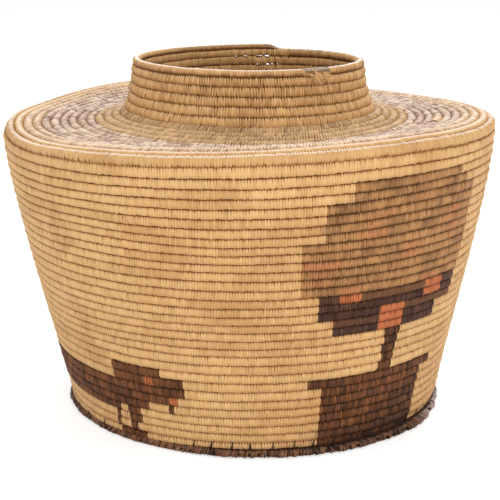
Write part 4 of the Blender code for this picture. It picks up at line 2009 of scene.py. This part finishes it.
@dataclass
class FootRing:
    """The dark wrapped coil under the heel, and its lashings."""

    wrap_thickness: float = 0.0003
    spacing: float = 0.0024
    lift: float = 0.0008
    sides: int = 10
    columns: int = 480
    lashing_gap: float = 5.5
    lashing_width: float = 0.0020
    lashings_seen: tuple[float, ...] = (
        -67.0, -59.0, -50.0, -17.5, -12.5, -6.5, -1.1, 5.0, 11.0, 16.5, 23.0, 28.0, 34.5, 40.0,
        45.5, 51.0, 57.0, 62.0,
    )
    # A dark filler in the seam between the ring and the heel, wider where the ring is pressed out,
    # stands in for the shade in that seam.
    shade_filler_radius: float = 0.0018
    shade_filler_spread: float = 0.06
    squash: float = 60.0
    worn_from: float = 54.0
    worn_to: float = 66.0
    # Degrees from the front, and how far the ring is pressed outward there
    spread: tuple[Span, ...] = (
        (-100.0, 0.0), (-82.0, 0.0006), (-70.0, 0.0010), (-58.0, 0.0003), (-32.0, 0.0),
        (-12.0, 0.0026), (10.0, 0.0038), (25.0, 0.0050), (52.0, 0.0052), (62.0, 0.0040),
        (72.0, 0.0016), (88.0, 0.0), (260.0, 0.0),
    )

    @property
    def height(self) -> float:
        """The height of the ring's middle."""
        return FOOT_COIL_RADIUS - FOOT_FLAT + self.lift

    @property
    def radius(self) -> float:
        """The radius of the ring's middle."""
        reach = HEEL_BEND + COIL_OUTSIDE + FOOT_COIL_RADIUS
        return PATH.heel.x + math.sqrt(reach**2 - (PATH.heel.y - self.height) ** 2) - self.lift

    @staticmethod
    def degrees(turns: float) -> float:
        """Degrees from the front, with the right positive."""
        return -360.0 * turns + (360.0 if turns > 0.5 else 0.0)

    def worn(self, turns: float) -> float:
        """How worn and pale the ring is, which it is on the right."""
        degrees = self.degrees(turns)
        return ramp(degrees, self.worn_from, self.worn_to) * ramp(degrees, 125.0, 95.0)

    def spreading(self, turns: float) -> float:
        """How far the ring has been pressed outward."""
        degrees = self.degrees(turns)
        for (first, low), (last, high) in zip(self.spread, self.spread[1:]):
            if first <= degrees < last:
                return low + (high - low) * (degrees - first) / (last - first)
        return 0.0

    def pressed(self, turns: float) -> float:
        """How high the ring's top still is, as a share, where it has been pressed outward."""
        return 1.0 - self.squash * self.spreading(turns)

    @staticmethod
    def lumps(turns: float) -> float:
        """The ring's unevenness."""
        even = 0.09 * math.sin(turns * 151.0) + 0.09 * math.sin(turns * 419.0)
        return even + 0.08 * math.sin(turns * 1187.0)

    def spot(self, turns: float, outward: float, upward: float) -> Vector:
        """A point by the ring's middle."""
        angle = -0.5 * math.pi - 2.0 * math.pi * turns
        radius = self.radius + 0.5 * self.spreading(turns) + outward
        return Vector((
            LEAN + radius * math.cos(angle), radius * math.sin(angle), self.height + upward
        ))

    def girth(self, turns: float) -> float:
        """Half the ring's width without its wraps."""
        whole = FOOT_COIL_RADIUS + 0.5 * self.spreading(turns) - self.wrap_thickness
        return whole * (1.0 + self.lumps(turns))

    def seat(self, turns: float) -> Seat:
        """The seat of a wrap."""
        flat = self.height - 2.0 * self.wrap_thickness
        top = flat * (1.0 + 1.6 * self.lumps(turns + 0.3)) * self.pressed(turns)
        return seat_between(
            turns, self.spot(turns, 0.0, -flat), self.spot(turns, 0.0, top),
            self.spot(turns, self.girth(turns), 0.5 * (top - flat)),
        )

    def wraps(self) -> Sewing:
        """The wrapping of the ring."""
        return Sewing(
            "foot_ring_wraps", [(0.0, 1.0)], self.seat, Wrap.RING, FOOT, ("foot_ring",),
            spacing=self.spacing, width=1.0, crown=0.0004, unevenness=0.55, slant=0.34,
            raggedness=0.02, splint_length=0.008, seed=91, tint=self.worn,
        )

    def lashing_seat(self, turns: float) -> Seat:
        """The seat of a lashing that holds the ring to the lowest course."""
        course = BASE_COURSES - turns
        return seat_between(
            turns,
            place(turns, course - 0.30, COIL_OUTSIDE - 0.0002),
            place(turns, course + 1.00, COIL_OUTSIDE - 0.0006),
            place(turns, course + 0.40, COIL_OUTSIDE + 0.0013),
        )

    def lashings(self) -> Sewing:
        """The short dark strands between the ring and the wall, unevenly spaced."""
        chance = random.Random(5)
        places = list(self.lashings_seen)
        degrees = self.lashings_seen[-1] + self.lashing_gap
        while degrees < 360.0 + self.lashings_seen[0]:
            places.append(degrees)
            degrees += self.lashing_gap * chance.uniform(0.75, 1.25)
        spans = [((-degrees / 360.0) % 1.0,) * 2 for degrees in places]
        return Sewing(
            "foot_lashings", spans, self.lashing_seat, Wrap.ROUND, LASHING,
            spacing=self.lashing_width, width=1.0, crown=0.0003, slant=0.12, unevenness=0.35,
            seed=92,
        )

    def inside(self, turns: float, angle: float) -> Vector:
        """A point on the bundle inside the wraps."""
        out = (self.girth(turns) - 2.0 * self.wrap_thickness) * math.cos(angle)
        up = (self.height - 3.0 * self.wrap_thickness) * math.sin(angle)
        return self.spot(turns, out, up * self.pressed(turns) if up > 0.0 else up)

    def seam(self, turns: float, angle: float) -> Vector:
        """A point on the dark filler in the seam between the ring and the heel, which stands in for
        the seam's shade.
        """
        spread = self.spreading(turns)
        touch = (HEEL_BEND + COIL_OUTSIDE) / (HEEL_BEND + COIL_OUTSIDE + FOOT_COIL_RADIUS)
        radius = self.shade_filler_radius + self.shade_filler_spread * spread
        middle = PATH.heel.x + (self.radius - PATH.heel.x) * touch + self.shade_filler_spread * spread
        out = middle - self.radius - 0.5 * spread + radius * math.cos(angle)
        up = (PATH.heel.y - self.height) * (1.0 - touch) + radius * math.sin(angle)
        return self.spot(turns, out, up)

    def core(self) -> bpy.types.Object:
        """The bundle inside the wraps, and the dark filler in the seam above it, which is painted
        shade.

        Returns:
            The piece.
        """
        shape = bmesh.new()
        for section in (self.inside, self.seam):
            rings = []
            for column in range(self.columns):
                angles = [2.0 * math.pi * side / self.sides for side in range(self.sides)]
                ring = [shape.verts.new(section(column / self.columns, a)) for a in angles]
                rings.append(ring)
            for here, after in zip(rings, rings[1:] + rings[:1]):
                bridge(shape, here, after)
        bmesh.ops.recalc_face_normals(shape, faces=shape.faces)
        piece = mesh_piece("foot_ring_bundle", shape, RING_CORE.material())
        finish_piece(piece, "dark_strand", ())
        return piece


def rod(
    shape: bmesh.types.BMesh, points: Sequence[Vector], radii: Sequence[float], sides: int = 5,
    flatness: float = 1.0,
) -> None:
    """Add a closed rod along some points.

    Args:
        shape: The mesh in the making.
        points: Where the rod goes.
        radii: Its radius at each point.
        sides: How many sides it has.
        flatness: Its thickness as a share of its width.
    """
    rings = []
    for index, (point, radius) in enumerate(zip(points, radii)):
        along = points[min(index + 1, len(points) - 1)] - points[max(index - 1, 0)]
        outward = Vector((point.x, point.y, 0.0))
        aside = along.cross(outward).normalized()
        outward = aside.cross(along).normalized() * flatness
        angles = [2.0 * math.pi * side / sides for side in range(sides)]
        rings.append([
            shape.verts.new(point + (aside * math.cos(a) + outward * math.sin(a)) * radius)
            for a in angles
        ])
    for here, after in zip(rings, rings[1:]):
        bridge(shape, here, after)
    shape.faces.new(rings[0])
    shape.faces.new(rings[-1][::-1])


@dataclass
class Wear:
    """Where the sewing has come undone: the bare stretch of the rim and the loose ends."""

    stems: int = 13
    stem_radius: float = 0.0008
    stem_ring: float = 0.0025
    overlap_degrees: float = 0.8
    fibres: int = 26
    loops: int = 2
    fibre_radius: float = 0.00027
    worn_tint: float = -0.60
    worn_overlap: float = 0.5
    tuft_middle: float = 34.0
    tuft_width: float = 11.0
    tuft_top: Span = (0.10, 0.40)
    tuft_bottom: Span = (-1.30, -0.10)
    tuft_lift: Span = (0.0010, 0.0038)
    tuft_sway: float = 2.4
    # The CAD node, its place on the coil in turns, its two ends in courses, drift in turns
    loose_ends: tuple[tuple[str, float, float, float, float], ...] = (
        ("loose_strand_lower", 66.0 + 37.2 / 360.0, -0.20, 1.04, 0.0042),
        ("loose_strand_upper", 68.0 + 56.0 / 360.0, 0.0, 0.85, 0.0020),
    )
    strand_radius: float = 0.0010

    def core(self) -> bpy.types.Object:
        """The bare stems of the bundle on the rim.

        Returns:
            The piece.
        """
        chance = random.Random(3)
        shape = bmesh.new()
        steps = 9
        for stem in range(self.stems):
            angle = 2.0 * math.pi * stem / (self.stems - 1)
            ring = self.stem_ring if stem < self.stems - 1 else 0.0
            phase, twist = chance.uniform(0.0, 6.3), chance.uniform(0.3, 0.9)
            points, radii = [], []
            for step in range(steps + 1):
                share = step / steps
                reach = WORN_TO - WORN_FROM + 2.0 * self.overlap_degrees
                degrees = WORN_TO + self.overlap_degrees - share * reach
                turns = RIM_FRONT - degrees / 360.0
                turn = angle + twist * share
                spread = ring * (1.0 + 0.10 * math.sin(5.0 * share + phase))
                high = 0.5 * (full_height(turns) + wander(turns))
                pitch = PATH.pitch(turns)
                points.append(place(
                    turns, high + spread * math.sin(turn) / pitch, spread * math.cos(turn)
                ))
                radii.append(self.stem_radius * (1.0 + 0.12 * math.sin(9.0 * share + phase)))
            rod(shape, points, radii, sides=6)
        bmesh.ops.recalc_face_normals(shape, faces=shape.faces)
        piece = mesh_piece("rim_bare_stems", shape, BARE.material())
        finish_piece(piece, "bare_core", ("bare_core",))
        return piece

    def worn_wraps(self) -> Sewing:
        """The stitches that still cover the front of the bare stretch."""
        first = RIM_FRONT - (WORN_TO + self.worn_overlap) / 360.0
        last = RIM_FRONT - (WORN_FROM - self.worn_overlap) / 360.0
        return Sewing(
            "rim_worn_stitches", [(first, last)], rim_seat, Wrap.WORN, RIM,
            unevenness=0.20, seed=95, tint=self.frayed_tint,
        )

    def frayed_tint(self, turns: float) -> float:
        """How dark the stitches under the tuft are."""
        aside = (RIM_FRONT - turns) * 360.0 - self.tuft_middle
        return self.worn_tint * ramp(abs(aside), 0.55 * self.tuft_width, 0.30 * self.tuft_width)

    def tuft(self) -> bpy.types.Object:
        """The frayed fibres that hang from the bare stretch.

        Returns:
            The piece.
        """
        chance = random.Random(8)
        shape = bmesh.new()
        steps = 8
        middle = self.tuft_middle
        for fibre in range(self.fibres):
            first = middle + chance.uniform(-0.5, 0.45) * self.tuft_width
            last = first + chance.uniform(-1.0, 4.6)
            top, bottom = chance.uniform(*self.tuft_top), chance.uniform(*self.tuft_bottom)
            if fibre < self.loops:
                top, last = chance.uniform(0.75, 1.0), first + chance.uniform(2.0, 6.0)
            sway = chance.uniform(-self.tuft_sway, self.tuft_sway)
            lift = chance.uniform(*self.tuft_lift)
            curl, phase = chance.uniform(0.0, 0.9), chance.uniform(0.0, 6.3)
            points, radii = [], []
            for step in range(steps + 1):
                share = step / steps
                bow = math.sin(math.pi * share)
                degrees = first + (last - first) * share + sway * bow
                degrees += curl * math.sin(7.0 * share + phase) * share
                across = top + (bottom - top) * share + 0.10 * curl * math.sin(9.0 * share + phase)
                outward = COIL_OUTSIDE + 0.0004 + lift * (0.35 * share + bow)
                points.append(place(RIM_FRONT - degrees / 360.0, across, outward))
                radii.append(self.fibre_radius * (1.15 - 0.7 * share))
            rod(shape, points, radii, sides=4)
        bmesh.ops.recalc_face_normals(shape, faces=shape.faces)
        piece = mesh_piece("rim_frayed_fibres", shape, FRAY.material())
        finish_piece(piece, "natural_strand", ("frayed_tuft",))
        return piece

    def ends(self) -> bpy.types.Object:
        """The two strand ends that stand off the neck.

        Returns:
            The piece.
        """
        shape = bmesh.new()
        steps = 8
        for _, turns, low, high, drift in self.loose_ends:
            points, radii = [], []
            for step in range(steps + 1):
                share = step / steps
                along = turns + drift * (0.5 - share)
                outward = COIL_OUTSIDE + 0.0011 * math.sin(math.pi * min(1.0, share * 1.2))
                points.append(place(along, low + (high - low) * share, outward + 0.0003))
                radii.append(self.strand_radius * (1.0 - 0.55 * ramp(abs(share - 0.45), 0.25, 0.6)))
            rod(shape, points, radii, sides=8, flatness=0.45)
        bmesh.ops.recalc_face_normals(shape, faces=shape.faces)
        piece = mesh_piece("neck_loose_ends", shape, LOOSE.material())
        finish_piece(piece, "natural_strand", tuple(end[0] for end in self.loose_ends))
        return piece


# The picture


@dataclass
class Studio:
    """Floor, light and camera."""

    image_width: float = 500.0
    focal_pixels: float = 1362.9
    camera_place: tuple[float, float, float] = (0.0008, -1.1133, 0.4084)
    camera_pitch: float = 0.2518
    sensor: float = 36.0
    floor_size: float = 8.0
    floor_tone: float = 0.80
    floor_glow: float = 0.50
    floor_fade: Span = (0.25, 1.2)
    world_strength: float = 0.57
    lamp_aim: tuple[float, float, float] = (0.0, 0.0, 0.18)
    lamps: tuple[tuple[str, tuple[float, float, float], float, float], ...] = (
        ("top_lamp", (0.0, 0.7, 1.6), 1.3, 16.0),
        ("front_lamp", (0.1, -1.8, 0.9), 1.4, 17.0),
        ("right_lamp", (1.7, -0.5, 0.8), 1.0, 6.0),
        ("left_lamp", (-1.7, -0.5, 0.8), 1.0, 3.0),
    )

    def camera(self) -> None:
        """Set up the camera of the photograph."""
        data = bpy.data.cameras.new("camera")
        data.sensor_width = self.sensor
        data.lens = self.focal_pixels * self.sensor / self.image_width
        camera = bpy.data.objects.new("camera", data)
        camera.location = self.camera_place
        camera.rotation_euler = (0.5 * math.pi - self.camera_pitch, 0.0, 0.0)
        bpy.context.scene.collection.objects.link(camera)
        bpy.context.scene.camera = camera

    def seen(self, bench: Bench) -> Term:
        """1 for rays that should meet the white background, 0 for the others."""
        rays = bench.add("ShaderNodeLightPath", {}, {})
        seen = bench.out(rays, "Is Camera Ray")
        for name in ("Is Glossy Ray", "Is Transmission Ray"):
            seen = seen.at_least(bench.out(rays, name))
        return seen

    def world(self) -> None:
        """A plain white world, full white where it is seen."""
        world = bpy.data.worlds.new("world")
        world.use_nodes = True
        bpy.context.scene.world = world
        bench = Bench(world.node_tree)
        background = world.node_tree.nodes["Background"]
        strength = self.seen(bench) * (1.0 - self.world_strength) + self.world_strength
        background.inputs["Color"].default_value = (1.0, 1.0, 1.0, 1.0)
        bench.feed(background.inputs["Strength"], strength)

    def floor(self) -> None:
        """A white floor that keeps a faint shadow."""
        half = 0.5 * self.floor_size
        shape = bmesh.new()
        corners = [(-half, -half, 0.0), (half, -half, 0.0), (half, half, 0.0), (-half, half, 0.0)]
        shape.faces.new([shape.verts.new(corner) for corner in corners])
        material = bpy.data.materials.new("floor_paper")
        material.use_nodes = True
        nodes = material.node_tree.nodes
        bench = Bench(material.node_tree)
        shader = nodes["Principled BSDF"]
        shader.inputs["Base Color"].default_value = (*(self.floor_tone,) * 3, 1.0)
        shader.inputs["Roughness"].default_value = 0.9
        shader.inputs["Specular IOR Level"].default_value = 0.0
        far = bench.place().length().rise(*self.floor_fade)
        strength = self.seen(bench) * (self.floor_glow + far * (1.0 - self.floor_glow))
        glow = bench.add("ShaderNodeEmission", {}, {"Strength": strength})
        both = bench.add(
            "ShaderNodeAddShader", {}, {0: bench.out(shader, 0), 1: bench.out(glow, 0)}
        )
        bench.feed(nodes["Material Output"].inputs["Surface"], bench.out(both, 0))
        mesh_piece("floor", shape, material)

    def lamp(
        self, name: str, spot: tuple[float, float, float], size: float, power: float
    ) -> None:
        """Hang a soft lamp that points at the basket.

        Args:
            name: Its name.
            spot: Where it hangs.
            size: The side of its square.
            power: Its power in watts.
        """
        data = bpy.data.lights.new(name, "AREA")
        data.size = size
        data.energy = power
        lamp = bpy.data.objects.new(name, data)
        lamp.location = spot
        aim = Vector(self.lamp_aim) - Vector(spot)
        lamp.rotation_euler = aim.to_track_quat("-Z", "Y").to_euler()
        bpy.context.scene.collection.objects.link(lamp)

    def build(self) -> None:
        """Set the whole studio up."""
        bpy.context.scene.view_settings.view_transform = "Standard"
        self.camera()
        self.world()
        self.floor()
        for name, spot, size, power in self.lamps:
            self.lamp(name, spot, size, power)


def main() -> None:
    """Build the basket's pieces in order, then the studio."""
    logging.basicConfig(level=logging.INFO, format="%(message)s", stream=sys.stdout)
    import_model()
    kit = SewingKit()
    ring = FootRing()
    wear = Wear()
    sewings = (
        PlainStitches().sewings()
        + FigureStitches().sewings()
        + Lining().sewings()
        + [ring.wraps(), ring.lashings(), wear.worn_wraps()]
    )
    for sewing in sewings:
        sewing.build(kit)
    kit.clear()
    Bundle().build()
    ring.core()
    wear.core()
    wear.tuft()
    wear.ends()
    Studio().build()


if __name__ == "__main__":
    main()
